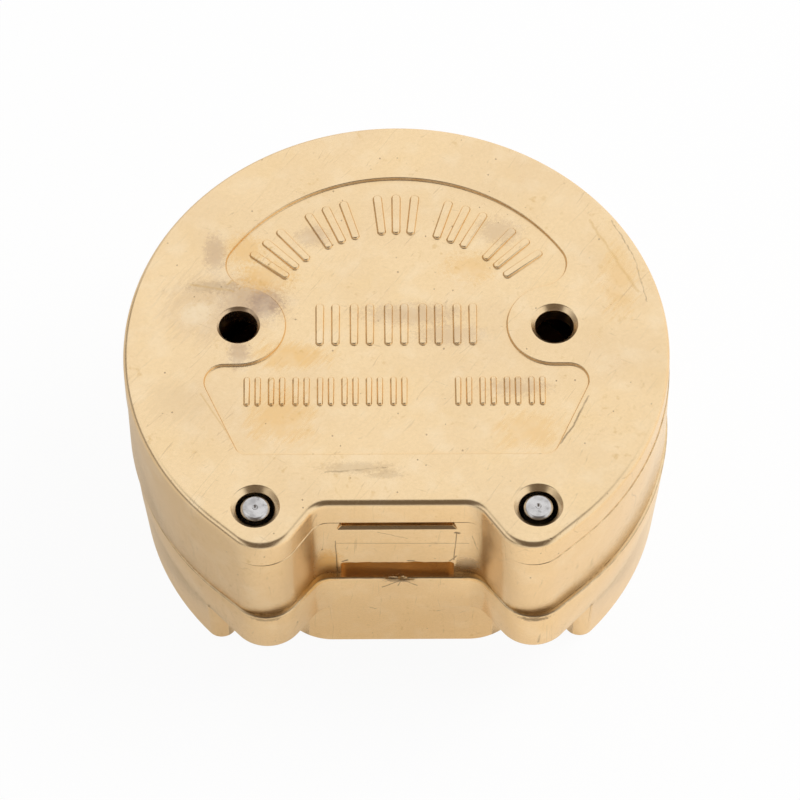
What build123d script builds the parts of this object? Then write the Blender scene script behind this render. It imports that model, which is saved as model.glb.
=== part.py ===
from build123d import *
import os
from math import acos, asin, atan2, cos, degrees, hypot, pi, radians, sin, sqrt, tan

# A closed ejector flask for dentures, in millimetres.
# It stands upside down: the upper half is at the bottom, and the outer face of the lower half is on top.
# X runs from the left ear to the right ear, the ears and the notch look towards -Y, and Z is up.
# Heights are measured from the ground. Plan positions are first measured from the centre of the round back.

# Outline of both castings in plan
BACK_RADIUS = 50.0
EAR_X = 24.4
EAR_RADIUS = 7.05
EAR_PROUD = 0.37
NOTCH_HALF_WIDTH = 14.4
NOTCH_WALL_BEHIND_EAR = 1.9
NOTCH_CORNER_RADIUS = 3.9

# Heights of the castings
UPPER_HEIGHT = 22.5
LOWER_HEIGHT = 23.5
EAR_THICKNESS = 10.3
PARTING_DEPTH = 6.2
FACE_THICKNESS = 4.0

# How far the castings miss each other
PARTING_MISMATCH = 0.18
UPPER_SHIFT_X = 0.5
UPPER_SHIFT_Y = -0.7
UPPER_WALL_PROUD = 0.6
UPPER_DRAFT_EARS = 0.7
UPPER_DRAFT_BODY = 0.9

# Rounded and chamfered edges
FACE_EDGE_RADIUS = 1.3
RIM_EDGE_RADIUS = 0.35
FOOT_EDGE_CHAMFER = 0.4

# Mould cavity
SIDE_WALL = 5.2
NOTCH_WALL = 4.9
PIN_BOSS_RADIUS = 8.8
CAVITY_INNER_CORNER = 3.0
CAVITY_OUTER_CORNER = 6.0
CAVITY_FLOOR_RADIUS = 2.0

# Body of the upper half below the ears
SCALLOP_RADIUS = 5.8
FRONT_CORNER_RADIUS = 10.5
LOBE_RADIUS = 2.8

# Ejector holes through the face
EJECTOR_X = 29.0
EJECTOR_Y = 5.0
EJECTOR_HOLE_RADIUS = 3.5
EJECTOR_CHAMFER_LEFT = 0.55
EJECTOR_CHAMFER_RIGHT = 0.9

# Guide pins and their bores
PIN_OUTSIDE_EAR = 1.0
PIN_BEHIND_EAR = 1.7
PIN_BORE_RADIUS = 3.5
PIN_BORE_CHAMFER = 1.0
PIN_RUNNING_CLEARANCE = 0.05
PIN_NOSE_RADIUS = 2.65
PIN_GUIDE_LENGTH = 11.0
PIN_TAPER_LENGTH = 2.0
PIN_END_CHAMFER = 0.45
PIN_END_BELOW_FACE = 0.35
CENTRE_MARK_RADIUS = 0.45
CENTRE_MARK_DEPTH = 0.35

# Sunk panel on the face
PANEL_DEPTH = 0.55
PANEL_TOP_RADIUS = 36.5
PANEL_TOP_MARGIN = 12.2
PANEL_WAIST_RADIUS = 8.8
PANEL_SHOULDER_HALF_WIDTH = 36.8
PANEL_FOOT_HALF_WIDTH = 28.4
PANEL_FOOT_MARGIN = 11.0
PANEL_TIP_RADIUS = 5.0
PANEL_SHOULDER_RADIUS = 3.5
PANEL_FOOT_RADIUS = 2.2

# Plain raised ribs on the panel, in an arc and two rows
RIB_HEIGHT = 0.45
RIB_DRAFT = 15.0
ARC_GROUPS = 5
ARC_RIBS = 3
ARC_RADIUS = 29.9
ARC_GROUP_ANGLE = 22.8
ARC_RIB_PITCH = 3.1
ARC_RIB_LENGTH = 9.0
ARC_RIB_WIDTH = 1.7
MIDDLE_GROUPS = 5
MIDDLE_RIBS = 2
MIDDLE_Y = 5.3
MIDDLE_GROUP_PITCH = 6.3
MIDDLE_RIB_PITCH = 2.9
MIDDLE_RIB_LENGTH = 9.2
MIDDLE_RIB_WIDTH = 1.6
LOW_Y = -9.3
LOW_LEFT_X = -12.9
LOW_LEFT_GROUPS = 7
LOW_RIGHT_X = 18.9
LOW_RIGHT_GROUPS = 4
LOW_RIBS = 2
LOW_GROUP_PITCH = 4.45
LOW_RIB_PITCH = 2.0
LOW_RIB_LENGTH = 6.2
LOW_RIB_WIDTH = 1.15

# Slit and pry window in the notch wall
SLIT_HALF_LENGTH = 11.0
SLIT_TOP_DEPTH = 6.05
SLIT_HEIGHT = 2.3
SLIT_LIP_DEPTH = 0.6
SLIT_LIP_DRAFT = 35.0
SLIT_DEPTH = 1.6
WINDOW_HALF_WIDTH = 10.3
WINDOW_HEIGHT = 3.5
WINDOW_DEPTH = 3.0
WINDOW_CORNER_RADIUS = 0.8

# Lid and ejector plate
LID_THICKNESS = 4.0
LID_SEAT = 1.5
LID_CLEARANCE = 0.3
LID_EDGE_CHAMFER = 0.4
PLATE_THICKNESS = 2.5
PLATE_CLEARANCE = 1.4
PLATE_EDGE_CHAMFER = 0.4

# Levels worked out from the heights
JOINT_Z = UPPER_HEIGHT
FACE_Z = UPPER_HEIGHT + LOWER_HEIGHT
PARTING_Z = FACE_Z - PARTING_DEPTH
EAR_FOOT_Z = UPPER_HEIGHT - EAR_THICKNESS
CAVITY_FLOOR_Z = FACE_Z - FACE_THICKNESS
PANEL_Z = FACE_Z - PANEL_DEPTH
PIN_END_Z = FACE_Z - PIN_END_BELOW_FACE

# Places worked out from the outline
EAR_Y = -sqrt((BACK_RADIUS - EAR_RADIUS + EAR_PROUD) ** 2 - EAR_X**2)
NOTCH_WALL_Y = EAR_Y + NOTCH_WALL_BEHIND_EAR
PIN_X = EAR_X + PIN_OUTSIDE_EAR
PIN_Y = EAR_Y + PIN_BEHIND_EAR
PANEL_TOP_Y = BACK_RADIUS - PANEL_TOP_MARGIN
PANEL_FOOT_Y = NOTCH_WALL_Y + PANEL_FOOT_MARGIN

# A cutter runs this far past the face that it opens
OVERCUT = 1.0

# Turned pieces stand on their foot, centred on their axis
UPRIGHT = (Align.CENTER, Align.CENTER, Align.MIN)

# The box around the whole flask is centred on the origin
EAR_FRONT = EAR_RADIUS - EAR_Y - UPPER_SHIFT_Y
CENTRE_Y = (EAR_FRONT - BACK_RADIUS) / 2


def symmetric_face(right_half):
    """Close the right half of an outline with its mirror image on the left, and fill it."""
    left_half = [mirror(edge, about=Plane.YZ) for edge in right_half]
    return make_face(right_half + left_half)


def round_corners(plan, corner, radius):
    """Round the plan corner at a point on the right, and its mirror image on the left."""
    pair = [v for v in plan.vertices() if hypot(abs(v.X) - corner[0], v.Y - corner[1]) < 0.01]
    return fillet(pair, radius)


def casting_outline(wall_y, back_radius):
    """Plan of a casting at its ears: a round back, straight flanks, two ears and the notch between them."""
    flank = atan2(EAR_Y, EAR_X) + acos((back_radius - EAR_RADIUS) / hypot(EAR_X, EAR_Y))
    across = NOTCH_HALF_WIDTH - EAR_X
    along = wall_y - EAR_Y
    inside = atan2(along, across) + acos(EAR_RADIUS / hypot(across, along)) - 2 * pi
    notch_corner = (NOTCH_HALF_WIDTH, wall_y)
    back_arc = CenterArc((0, 0), back_radius, 90, degrees(flank) - 90)
    ear_arc = CenterArc((EAR_X, EAR_Y), EAR_RADIUS, degrees(flank), degrees(inside - flank))
    right_half = [
        back_arc,
        Line(back_arc @ 1, ear_arc @ 0),
        ear_arc,
        Line(ear_arc @ 1, notch_corner),
        Line(notch_corner, (0, wall_y)),
    ]
    return round_corners(symmetric_face(right_half), notch_corner, NOTCH_CORNER_RADIUS)


def body_outline(wall_y, back_radius):
    """Plan of the upper half below its ears: flat in front, and scalloped around each pin."""
    corner_y = wall_y + FRONT_CORNER_RADIUS
    corner_x = PIN_X - sqrt((FRONT_CORNER_RADIUS + SCALLOP_RADIUS) ** 2 - (corner_y - PIN_Y) ** 2)
    corner_turn = atan2(PIN_Y - corner_y, PIN_X - corner_x)
    lobe_reach = back_radius - LOBE_RADIUS
    pin_reach = hypot(PIN_X, PIN_Y)
    spread = lobe_reach**2 + pin_reach**2 - (SCALLOP_RADIUS + LOBE_RADIUS) ** 2
    lobe_turn = atan2(PIN_Y, PIN_X) + acos(spread / (2 * lobe_reach * pin_reach))
    lobe = (lobe_reach * cos(lobe_turn), lobe_reach * sin(lobe_turn))
    lobe_side = atan2(lobe[1] - PIN_Y, lobe[0] - PIN_X)
    right_half = [
        Line((0, wall_y), (corner_x, wall_y)),
        CenterArc((corner_x, corner_y), FRONT_CORNER_RADIUS, -90, degrees(corner_turn) + 90),
        CenterArc((PIN_X, PIN_Y), SCALLOP_RADIUS, degrees(lobe_side), 180 + degrees(corner_turn - lobe_side)),
        CenterArc(lobe, LOBE_RADIUS, degrees(lobe_side) - 180, 180 + degrees(lobe_turn - lobe_side)),
        CenterArc((0, 0), back_radius, degrees(lobe_turn), 90 - degrees(lobe_turn)),
    ]
    return symmetric_face(right_half)


def cavity_outline():
    """Plan of the mould cavity: it follows the walls, and bends around the bosses of the pins."""
    radius = BACK_RADIUS - SIDE_WALL
    front_y = NOTCH_WALL_Y + NOTCH_WALL
    boss_y = PIN_Y + PIN_BOSS_RADIUS
    outer_corner = (sqrt(radius**2 - boss_y**2), boss_y)
    boss_start = 180 - degrees(asin((front_y - PIN_Y) / PIN_BOSS_RADIUS))
    boss_arc = CenterArc((PIN_X, PIN_Y), PIN_BOSS_RADIUS, 90, boss_start - 90)
    back_start = degrees(atan2(boss_y, outer_corner[0]))
    right_half = [
        CenterArc((0, 0), radius, back_start, 90 - back_start),
        Line(outer_corner, (PIN_X, boss_y)),
        boss_arc,
        Line(boss_arc @ 1, (0, front_y)),
    ]
    plan = round_corners(symmetric_face(right_half), outer_corner, CAVITY_OUTER_CORNER)
    return round_corners(plan, ((boss_arc @ 1).X, front_y), CAVITY_INNER_CORNER)


def panel_outline():
    """Plan of the sunk panel: an arch on top, a waist around each ejector hole, and a wide foot."""
    arch_y = PANEL_TOP_Y - PANEL_TOP_RADIUS
    lower_y = EJECTOR_Y - PANEL_WAIST_RADIUS
    reach = PANEL_TOP_RADIUS - PANEL_TIP_RADIUS
    across = hypot(EJECTOR_X, EJECTOR_Y - arch_y)
    spread = reach**2 + across**2 - (PANEL_WAIST_RADIUS + PANEL_TIP_RADIUS) ** 2
    tip_turn = atan2(EJECTOR_Y - arch_y, EJECTOR_X) + acos(spread / (2 * reach * across))
    tip = (reach * cos(tip_turn), arch_y + reach * sin(tip_turn))
    waist_turn = atan2(tip[1] - EJECTOR_Y, tip[0] - EJECTOR_X)
    shoulder = (PANEL_SHOULDER_HALF_WIDTH, lower_y)
    foot = (PANEL_FOOT_HALF_WIDTH, PANEL_FOOT_Y)
    right_half = [
        CenterArc((0, arch_y), PANEL_TOP_RADIUS, degrees(tip_turn), 90 - degrees(tip_turn)),
        CenterArc(tip, PANEL_TIP_RADIUS, degrees(waist_turn) - 180, 180 + degrees(tip_turn - waist_turn)),
        CenterArc((EJECTOR_X, EJECTOR_Y), PANEL_WAIST_RADIUS, degrees(waist_turn), 270 - degrees(waist_turn)),
        Line((EJECTOR_X, lower_y), shoulder),
        Line(shoulder, foot),
        Line(foot, (0, PANEL_FOOT_Y)),
    ]
    plan = round_corners(symmetric_face(right_half), shoulder, PANEL_SHOULDER_RADIUS)
    return round_corners(plan, foot, PANEL_FOOT_RADIUS)


def rib(width, length):
    """One raised rib that stands on the panel, with round ends and drafted flanks, along Y."""
    foot = Pos(0, 0, PANEL_Z) * Rot(0, 0, 90) * SlotOverall(length, width)
    return extrude(foot, RIB_HEIGHT, taper=RIB_DRAFT)


def group_places(count, pitch):
    """Places of a number of equal steps, centred on zero."""
    return [(index - (count - 1) / 2) * pitch for index in range(count)]


def rib_row(centre_x, centre_y, groups, group_pitch, ribs, rib_pitch, one_rib):
    """A straight row of rib groups."""
    return [
        Pos(centre_x + group_x + rib_x, centre_y) * one_rib
        for group_x in group_places(groups, group_pitch)
        for rib_x in group_places(ribs, rib_pitch)
    ]


def raised_ribs():
    """All the ribs on the panel: an arc of groups, a middle row and a low row in two stretches."""
    arc_rib = Pos(0, ARC_RADIUS) * rib(ARC_RIB_WIDTH, ARC_RIB_LENGTH)
    rib_angle = degrees(ARC_RIB_PITCH / ARC_RADIUS)
    arc = [
        Rot(0, 0, -(group_turn + rib_turn)) * arc_rib
        for group_turn in group_places(ARC_GROUPS, ARC_GROUP_ANGLE)
        for rib_turn in group_places(ARC_RIBS, rib_angle)
    ]
    middle_rib = rib(MIDDLE_RIB_WIDTH, MIDDLE_RIB_LENGTH)
    low_rib = rib(LOW_RIB_WIDTH, LOW_RIB_LENGTH)
    middle = rib_row(0, MIDDLE_Y, MIDDLE_GROUPS, MIDDLE_GROUP_PITCH, MIDDLE_RIBS, MIDDLE_RIB_PITCH, middle_rib)
    low_left = rib_row(LOW_LEFT_X, LOW_Y, LOW_LEFT_GROUPS, LOW_GROUP_PITCH, LOW_RIBS, LOW_RIB_PITCH, low_rib)
    low_right = rib_row(LOW_RIGHT_X, LOW_Y, LOW_RIGHT_GROUPS, LOW_GROUP_PITCH, LOW_RIBS, LOW_RIB_PITCH, low_rib)
    return arc + middle + low_left + low_right


def chamfered_hole(x, y, top_z, bottom_z, radius, chamfer_size):
    """A cutter for a round hole through a level, with a chamfer at its upper mouth."""
    bore_height = top_z - bottom_z + 2 * OVERCUT
    bore = Pos(x, y, bottom_z - OVERCUT) * Cylinder(radius, bore_height, align=UPRIGHT)
    cone_height = chamfer_size + OVERCUT
    cone = Cone(radius, radius + cone_height, cone_height, align=UPRIGHT)
    return bore + Pos(x, y, top_z - chamfer_size) * cone


def notch_slit():
    """The cutter of the slit high in the notch wall: a drafted mouth, and a deeper slot behind its lip."""
    centre_z = FACE_Z - SLIT_TOP_DEPTH - SLIT_HEIGHT / 2
    wall = Plane(origin=(0, NOTCH_WALL_Y, centre_z), x_dir=(1, 0, 0), z_dir=(0, 1, 0))
    mouth = extrude(wall * Rectangle(2 * SLIT_HALF_LENGTH, SLIT_HEIGHT), SLIT_LIP_DEPTH, taper=SLIT_LIP_DRAFT)
    narrowing = SLIT_LIP_DEPTH * tan(radians(SLIT_LIP_DRAFT))
    slot = wall * Rectangle(2 * (SLIT_HALF_LENGTH - narrowing), SLIT_HEIGHT - 2 * narrowing)
    return mouth + extrude(slot, SLIT_DEPTH)


def pry_window():
    """The cutter of the pry window, a shallow pocket in the notch wall at the joint."""
    pocket = Box(
        2 * WINDOW_HALF_WIDTH,
        WINDOW_DEPTH + OVERCUT,
        WINDOW_HEIGHT + OVERCUT,
        align=(Align.CENTER, Align.MIN, Align.MAX),
    )
    uprights = pocket.edges().filter_by(Axis.Y).group_by(Axis.Z)[-1]
    pocket = fillet(uprights, WINDOW_CORNER_RADIUS)
    return Pos(0, NOTCH_WALL_Y - OVERCUT, JOINT_Z + WINDOW_HEIGHT) * pocket


def make_lower_half():
    """The cup that lies on top, mouth down, with its panelled outer face up."""
    above = Pos(0, 0, PARTING_Z) * casting_outline(NOTCH_WALL_Y, BACK_RADIUS)
    crown = extrude(above, PARTING_DEPTH)
    crown = fillet(crown.faces().sort_by(Axis.Z)[-1].edges(), FACE_EDGE_RADIUS)
    below = Pos(PARTING_MISMATCH, 0, JOINT_Z) * casting_outline(NOTCH_WALL_Y, BACK_RADIUS)
    half = crown + extrude(below, PARTING_Z - JOINT_Z)
    cavity = extrude(Pos(0, 0, JOINT_Z - OVERCUT) * cavity_outline(), CAVITY_FLOOR_Z - JOINT_Z + OVERCUT)
    half -= fillet(cavity.faces().sort_by(Axis.Z)[-1].edges(), CAVITY_FLOOR_RADIUS)
    half -= extrude(Pos(0, 0, PANEL_Z) * panel_outline(), PANEL_DEPTH + OVERCUT)
    half += raised_ribs()
    for side, chamfer_size in ((-1, EJECTOR_CHAMFER_LEFT), (1, EJECTOR_CHAMFER_RIGHT)):
        x = side * EJECTOR_X
        half -= chamfered_hole(x, EJECTOR_Y, FACE_Z, CAVITY_FLOOR_Z, EJECTOR_HOLE_RADIUS, chamfer_size)
    for side in (-1, 1):
        half -= chamfered_hole(side * PIN_X, PIN_Y, FACE_Z, JOINT_Z, PIN_BORE_RADIUS, PIN_BORE_CHAMFER)
    half -= notch_slit()
    half -= pry_window()
    return half


def make_upper_half():
    """The ring that stands at the bottom: two short ears above a scalloped body, open right through."""
    wall_y = NOTCH_WALL_Y - UPPER_WALL_PROUD
    ear_foot_radius = BACK_RADIUS - UPPER_DRAFT_EARS
    foot_radius = ear_foot_radius - UPPER_DRAFT_BODY
    foot = body_outline(wall_y + FOOT_EDGE_CHAMFER, foot_radius - FOOT_EDGE_CHAMFER)
    above_foot = Pos(0, 0, FOOT_EDGE_CHAMFER) * body_outline(wall_y, foot_radius)
    below_ears = Pos(0, 0, EAR_FOOT_Z) * body_outline(wall_y, ear_foot_radius)
    body = loft([foot, above_foot, below_ears], ruled=True)
    ears = Pos(0, 0, EAR_FOOT_Z) * casting_outline(wall_y, ear_foot_radius)
    top = loft([ears, Pos(0, 0, JOINT_Z) * casting_outline(wall_y, BACK_RADIUS)], ruled=True)
    top = fillet(top.faces().sort_by(Axis.Z)[-1].edges(), RIM_EDGE_RADIUS)
    half = body + top
    half -= extrude(cavity_outline(), JOINT_Z + OVERCUT)
    half -= extrude(Pos(0, 0, -OVERCUT) * offset(cavity_outline(), LID_SEAT), LID_THICKNESS + OVERCUT)
    half = Pos(UPPER_SHIFT_X, UPPER_SHIFT_Y) * half
    for side in (-1, 1):
        half -= Pos(side * PIN_X, PIN_Y, EAR_FOOT_Z - OVERCUT) * Cylinder(
            PIN_BORE_RADIUS, EAR_THICKNESS + 2 * OVERCUT, align=UPRIGHT
        )
    return half


def make_lid():
    """The cover plate that closes the upper half, flush with its foot."""
    plate = extrude(offset(cavity_outline(), LID_SEAT - LID_CLEARANCE), LID_THICKNESS)
    plate = chamfer(plate.faces().sort_by(Axis.Z)[0].edges(), LID_EDGE_CHAMFER)
    return Pos(UPPER_SHIFT_X, UPPER_SHIFT_Y) * plate


def make_ejector_plate():
    """The loose knock-out plate, which lies on the lid and is smaller than the cavity all round."""
    plate = extrude(Pos(0, 0, LID_THICKNESS) * offset(cavity_outline(), -PLATE_CLEARANCE), PLATE_THICKNESS)
    plate = chamfer(plate.faces().sort_by(Axis.Z)[-1].edges(), PLATE_EDGE_CHAMFER)
    return Pos(UPPER_SHIFT_X / 2, UPPER_SHIFT_Y / 2) * plate


def make_guide_pin(side):
    """A turned pin: pressed into its ear, a close guide above the joint, and a slimmer nose."""
    guide_radius = PIN_BORE_RADIUS - PIN_RUNNING_CLEARANCE
    guide_top = JOINT_Z + PIN_GUIDE_LENGTH
    nose_foot = guide_top + PIN_TAPER_LENGTH
    profile = Polyline(
        (0, EAR_FOOT_Z),
        (PIN_BORE_RADIUS, EAR_FOOT_Z),
        (PIN_BORE_RADIUS, JOINT_Z),
        (guide_radius, JOINT_Z),
        (guide_radius, guide_top),
        (PIN_NOSE_RADIUS, nose_foot),
        (PIN_NOSE_RADIUS, PIN_END_Z - PIN_END_CHAMFER),
        (PIN_NOSE_RADIUS - PIN_END_CHAMFER, PIN_END_Z),
        (CENTRE_MARK_RADIUS, PIN_END_Z),
        (0, PIN_END_Z - CENTRE_MARK_DEPTH),
        close=True,
    )
    return Pos(side * PIN_X, PIN_Y) * revolve(Plane.XZ * make_face(profile), Axis.Z)


def write(name, shape):
    """Write one node, placed so that the box around the whole flask is centred on the origin."""
    export_step(Pos(0, CENTRE_Y) * shape, f"parts/{name}.step")


os.makedirs("parts", exist_ok=True)
write("lower_half", make_lower_half())
write("upper_half", make_upper_half())
write("lid", make_lid())
write("ejector_plate", make_ejector_plate())
write("guide_pin_left", make_guide_pin(-1))
write("guide_pin_right", make_guide_pin(1))
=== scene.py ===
"""A closed denture flask in cast brass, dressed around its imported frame.

All sizes are in millimetres. Plans are measured from the centre of the round back, and heights
from the ground, and each finished mesh is put into the row frame in metres.
"""

import logging
import math
from collections.abc import Callable, Sequence
from dataclasses import dataclass
from enum import Enum
from itertools import pairwise

import bmesh
import bpy
from mathutils import Matrix, Vector, noise

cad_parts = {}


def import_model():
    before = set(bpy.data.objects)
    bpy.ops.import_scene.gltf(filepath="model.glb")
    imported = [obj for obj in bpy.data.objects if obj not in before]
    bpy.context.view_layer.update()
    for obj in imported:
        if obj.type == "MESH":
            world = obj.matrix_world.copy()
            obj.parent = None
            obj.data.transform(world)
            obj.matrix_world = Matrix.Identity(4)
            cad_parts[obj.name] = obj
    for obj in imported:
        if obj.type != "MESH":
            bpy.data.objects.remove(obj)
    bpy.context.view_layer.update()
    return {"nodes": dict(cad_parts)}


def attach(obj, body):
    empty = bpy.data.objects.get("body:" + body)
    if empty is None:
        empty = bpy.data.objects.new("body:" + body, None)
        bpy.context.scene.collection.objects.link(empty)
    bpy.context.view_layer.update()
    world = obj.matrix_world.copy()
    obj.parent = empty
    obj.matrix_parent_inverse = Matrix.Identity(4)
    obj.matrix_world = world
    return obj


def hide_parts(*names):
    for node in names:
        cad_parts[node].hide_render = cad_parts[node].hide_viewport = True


LOG = logging.getLogger("flask")

MM = 0.001
PHOTO_SIDE = 800
SENSOR_WIDTH = 36.0
CENTRE_Y = -3.2276
LEVEL_TOLERANCE = 1e-4
WELD = 0.002
CUTTER_MARGIN = 1.0
CAST_EDGE_RADIUS = 0.14
CAST_EDGE_ANGLE = 32.0

Point = tuple[float, float]
MeshData = bmesh.types.BMesh

WHITE = (1.0, 1.0, 1.0, 1.0)


class Slot(Enum):
    """The record's material slots."""

    BRASS = "cast_brass"
    STEEL = "pin_steel"


class Body(Enum):
    """The bodies that the drawn pieces ride on."""

    UPPER = "upper"
    LOWER = "lower"


class Cut(Enum):
    """How a set of solids is joined to a casting."""

    AWAY = "DIFFERENCE"
    ONTO = "UNION"


# Drawing and joining solids


class Pen:
    """Draws the right half of a plan at one level, and mirrors it into a closed ring."""

    def __init__(self, mesh: MeshData, height: float, start: Point) -> None:
        """Set the pen down.

        Args:
            mesh: The mesh to draw in.
            height: The level of the plan.
            start: The first point, on the middle line.
        """
        self.mesh = mesh
        self.height = height
        self.before = set(mesh.verts)
        self.tip = mesh.verts.new((*start, height))

    def line(self, end: Point) -> None:
        """Draw a straight run to a point."""
        vert = self.mesh.verts.new((*end, self.height))
        self.mesh.edges.new((self.tip, vert))
        self.tip = vert

    def arc(self, centre: Point, sweep: float, steps: int) -> None:
        """Draw an arc from the tip.

        Args:
            centre: The middle of the arc.
            sweep: The angle in radians, positive to the left.
            steps: The number of chords.
        """
        turned = bmesh.ops.spin(
            self.mesh, geom=[self.tip], cent=(*centre, self.height), axis=(0, 0, 1), angle=sweep, steps=steps
        )
        self.tip = next(part for part in turned["geom_last"] if isinstance(part, bmesh.types.BMVert))

    def corner(self, corner: Point, towards: Point, radius: float, steps: int) -> None:
        """Draw a straight run to a corner and round it.

        Args:
            corner: Where the two straight runs would meet.
            towards: Any point on the second run.
            radius: The radius of the rounding.
            steps: The number of chords.
        """
        here = Vector(corner)
        arriving = (here - self.tip.co.xy).normalized()
        leaving = (Vector(towards) - here).normalized()
        turn = math.atan2(arriving.x * leaving.y - arriving.y * leaving.x, arriving.dot(leaving))
        first = here - arriving * radius * math.tan(abs(turn) / 2)
        inward = Vector((-arriving.y, arriving.x)) * math.copysign(radius, turn)
        self.line(tuple(first))
        self.arc(tuple(first + inward), turn, steps)

    def close(self, shift: Point = (0.0, 0.0)) -> list[bmesh.types.BMEdge]:
        """Mirror the drawn half and move the ring.

        Args:
            shift: How far the whole ring is moved in plan.

        Returns:
            The edges of the closed ring.
        """
        drawn = [vert for vert in self.mesh.verts if vert not in self.before]
        edges = [edge for vert in drawn for edge in vert.link_edges]
        bmesh.ops.mirror(
            self.mesh, geom=drawn + list(set(edges)), matrix=Matrix.Identity(4), merge_dist=WELD, axis="X"
        )
        ring = [vert for vert in self.mesh.verts if vert not in self.before]
        bmesh.ops.translate(self.mesh, verts=ring, vec=(*shift, 0))
        return list({edge for vert in ring for edge in vert.link_edges})


Plan = Callable[[MeshData, float], Pen]


@dataclass(frozen=True)
class Section:
    """One level of a loft."""

    plan: Plan
    height: float
    shift: Point = (0.0, 0.0)


def loft(sections: Sequence[Section]) -> MeshData:
    """Join plans at rising levels into one closed solid.

    Args:
        sections: The plans, from the lowest to the highest.

    Returns:
        The solid.
    """
    mesh = bmesh.new()
    rings = [section.plan(mesh, section.height).close(section.shift) for section in sections]
    for below, above in pairwise(rings):
        bmesh.ops.bridge_loops(mesh, edges=below + above)
    for ring in (rings[0], rings[-1]):
        bmesh.ops.contextual_create(mesh, geom=ring)
    bmesh.ops.recalc_face_normals(mesh, faces=mesh.faces)
    return mesh


def soften_level(mesh: MeshData, height: float, size: float, segments: int) -> None:
    """Round or chamfer every edge that lies at one level.

    Args:
        mesh: The solid.
        height: The level of the edges.
        size: The radius, or the width of the chamfer.
        segments: The steps of the rounding, where one gives a chamfer.
    """
    level = [
        edge
        for edge in mesh.edges
        if all(abs(vert.co.z - height) < LEVEL_TOLERANCE for vert in edge.verts)
    ]
    bmesh.ops.bevel(
        mesh,
        geom=level,
        offset=size,
        offset_type="OFFSET",
        segments=segments,
        profile=0.5,
        affect="EDGES",
        clamp_overlap=False,
        material=-1,
        loop_slide=True,
    )


def turned(profile: Sequence[Point], centre: Point, steps: int) -> MeshData:
    """Turn a profile around an upright axis.

    Args:
        profile: Radius and height of each point, starting and ending on the axis.
        centre: The place of the axis in plan.
        steps: The number of steps around.

    Returns:
        The turned solid.
    """
    mesh = bmesh.new()
    verts = [mesh.verts.new((centre[0] + radius, centre[1], height)) for radius, height in profile]
    edges = [mesh.edges.new(pair) for pair in pairwise(verts)]
    bmesh.ops.spin(
        mesh,
        geom=verts + edges,
        cent=(*centre, 0),
        axis=(0, 0, 1),
        angle=math.tau,
        steps=steps,
        use_merge=True,
    )
    bmesh.ops.remove_doubles(mesh, verts=mesh.verts, dist=WELD)
    bmesh.ops.recalc_face_normals(mesh, faces=mesh.faces)
    return mesh


def block(low: Vector, high: Vector) -> MeshData:
    """A plain box between two corners."""
    mesh = bmesh.new()
    bmesh.ops.create_cube(mesh, size=1)
    bmesh.ops.scale(mesh, verts=mesh.verts, vec=high - low)
    bmesh.ops.translate(mesh, verts=mesh.verts, vec=(low + high) / 2)
    return mesh


def as_object(name: str, mesh: MeshData) -> bpy.types.Object:
    """Link a mesh to the scene as an object at the origin, and free the working mesh."""
    data = bpy.data.meshes.new(name)
    mesh.to_mesh(data)
    mesh.free()
    thing = bpy.data.objects.new(name, data)
    bpy.context.scene.collection.objects.link(thing)
    return thing


def evaluated(thing: bpy.types.Object) -> MeshData:
    """Read an object's mesh with its modifiers applied."""
    graph = bpy.context.evaluated_depsgraph_get()
    source = thing.evaluated_get(graph)
    data = bpy.data.meshes.new_from_object(source, preserve_all_data_layers=True, depsgraph=graph)
    mesh = bmesh.new()
    mesh.from_mesh(data)
    bpy.data.meshes.remove(data)
    return mesh


def combine(base: MeshData, others: Sequence[MeshData], how: Cut) -> MeshData:
    """Cut solids out of a base, or weld them onto it.

    Args:
        base: The solid that is changed.
        others: The solids to cut away or to add.
        how: Whether they are cut away or added.

    Returns:
        The new solid, with its doubles merged.
    """
    target = as_object("work_base", base)
    group = bpy.data.collections.new("work_cutters")
    bpy.context.scene.collection.children.link(group)
    tools = [as_object(f"work_cutter_{index}", other) for index, other in enumerate(others)]
    for tool in tools:
        bpy.context.scene.collection.objects.unlink(tool)
        group.objects.link(tool)
    step = target.modifiers.new("join", "BOOLEAN")
    step.operation = how.value
    step.operand_type = "COLLECTION"
    step.solver = "EXACT"
    step.collection = group
    result = evaluated(target)
    for thing in (target, *tools):
        bpy.data.meshes.remove(thing.data)
    bpy.data.collections.remove(group)
    bmesh.ops.remove_doubles(result, verts=result.verts, dist=WELD)
    bmesh.ops.dissolve_degenerate(result, edges=result.edges, dist=WELD)
    return result


@dataclass(frozen=True)
class Nick:
    """A small dent or chip, cut by a jagged lump."""

    place: tuple[float, float, float]
    size: tuple[float, float, float]
    turn: float = 0.0
    seed: float = 0.0

    def holds(self, place: Vector) -> bool:
        """Whether a place lies in the dent or just beside it."""
        return (place - Vector(self.place)).length < 1.3 * max(self.size) + 0.1

    def build(self) -> MeshData:
        """Make the jagged lump that is cut away."""
        mesh = bmesh.new()
        bmesh.ops.create_icosphere(mesh, subdivisions=2, radius=1.0)
        for vert in mesh.verts:
            vert.co *= 1.0 + 0.55 * noise.noise(vert.co * 1.7 + Vector((self.seed, 0, 0)))
        bmesh.ops.scale(mesh, verts=mesh.verts, vec=self.size)
        bmesh.ops.rotate(mesh, verts=mesh.verts, cent=(0, 0, 0), matrix=Matrix.Rotation(self.turn, 3, "Z"))
        bmesh.ops.translate(mesh, verts=mesh.verts, vec=self.place)
        return mesh


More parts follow.
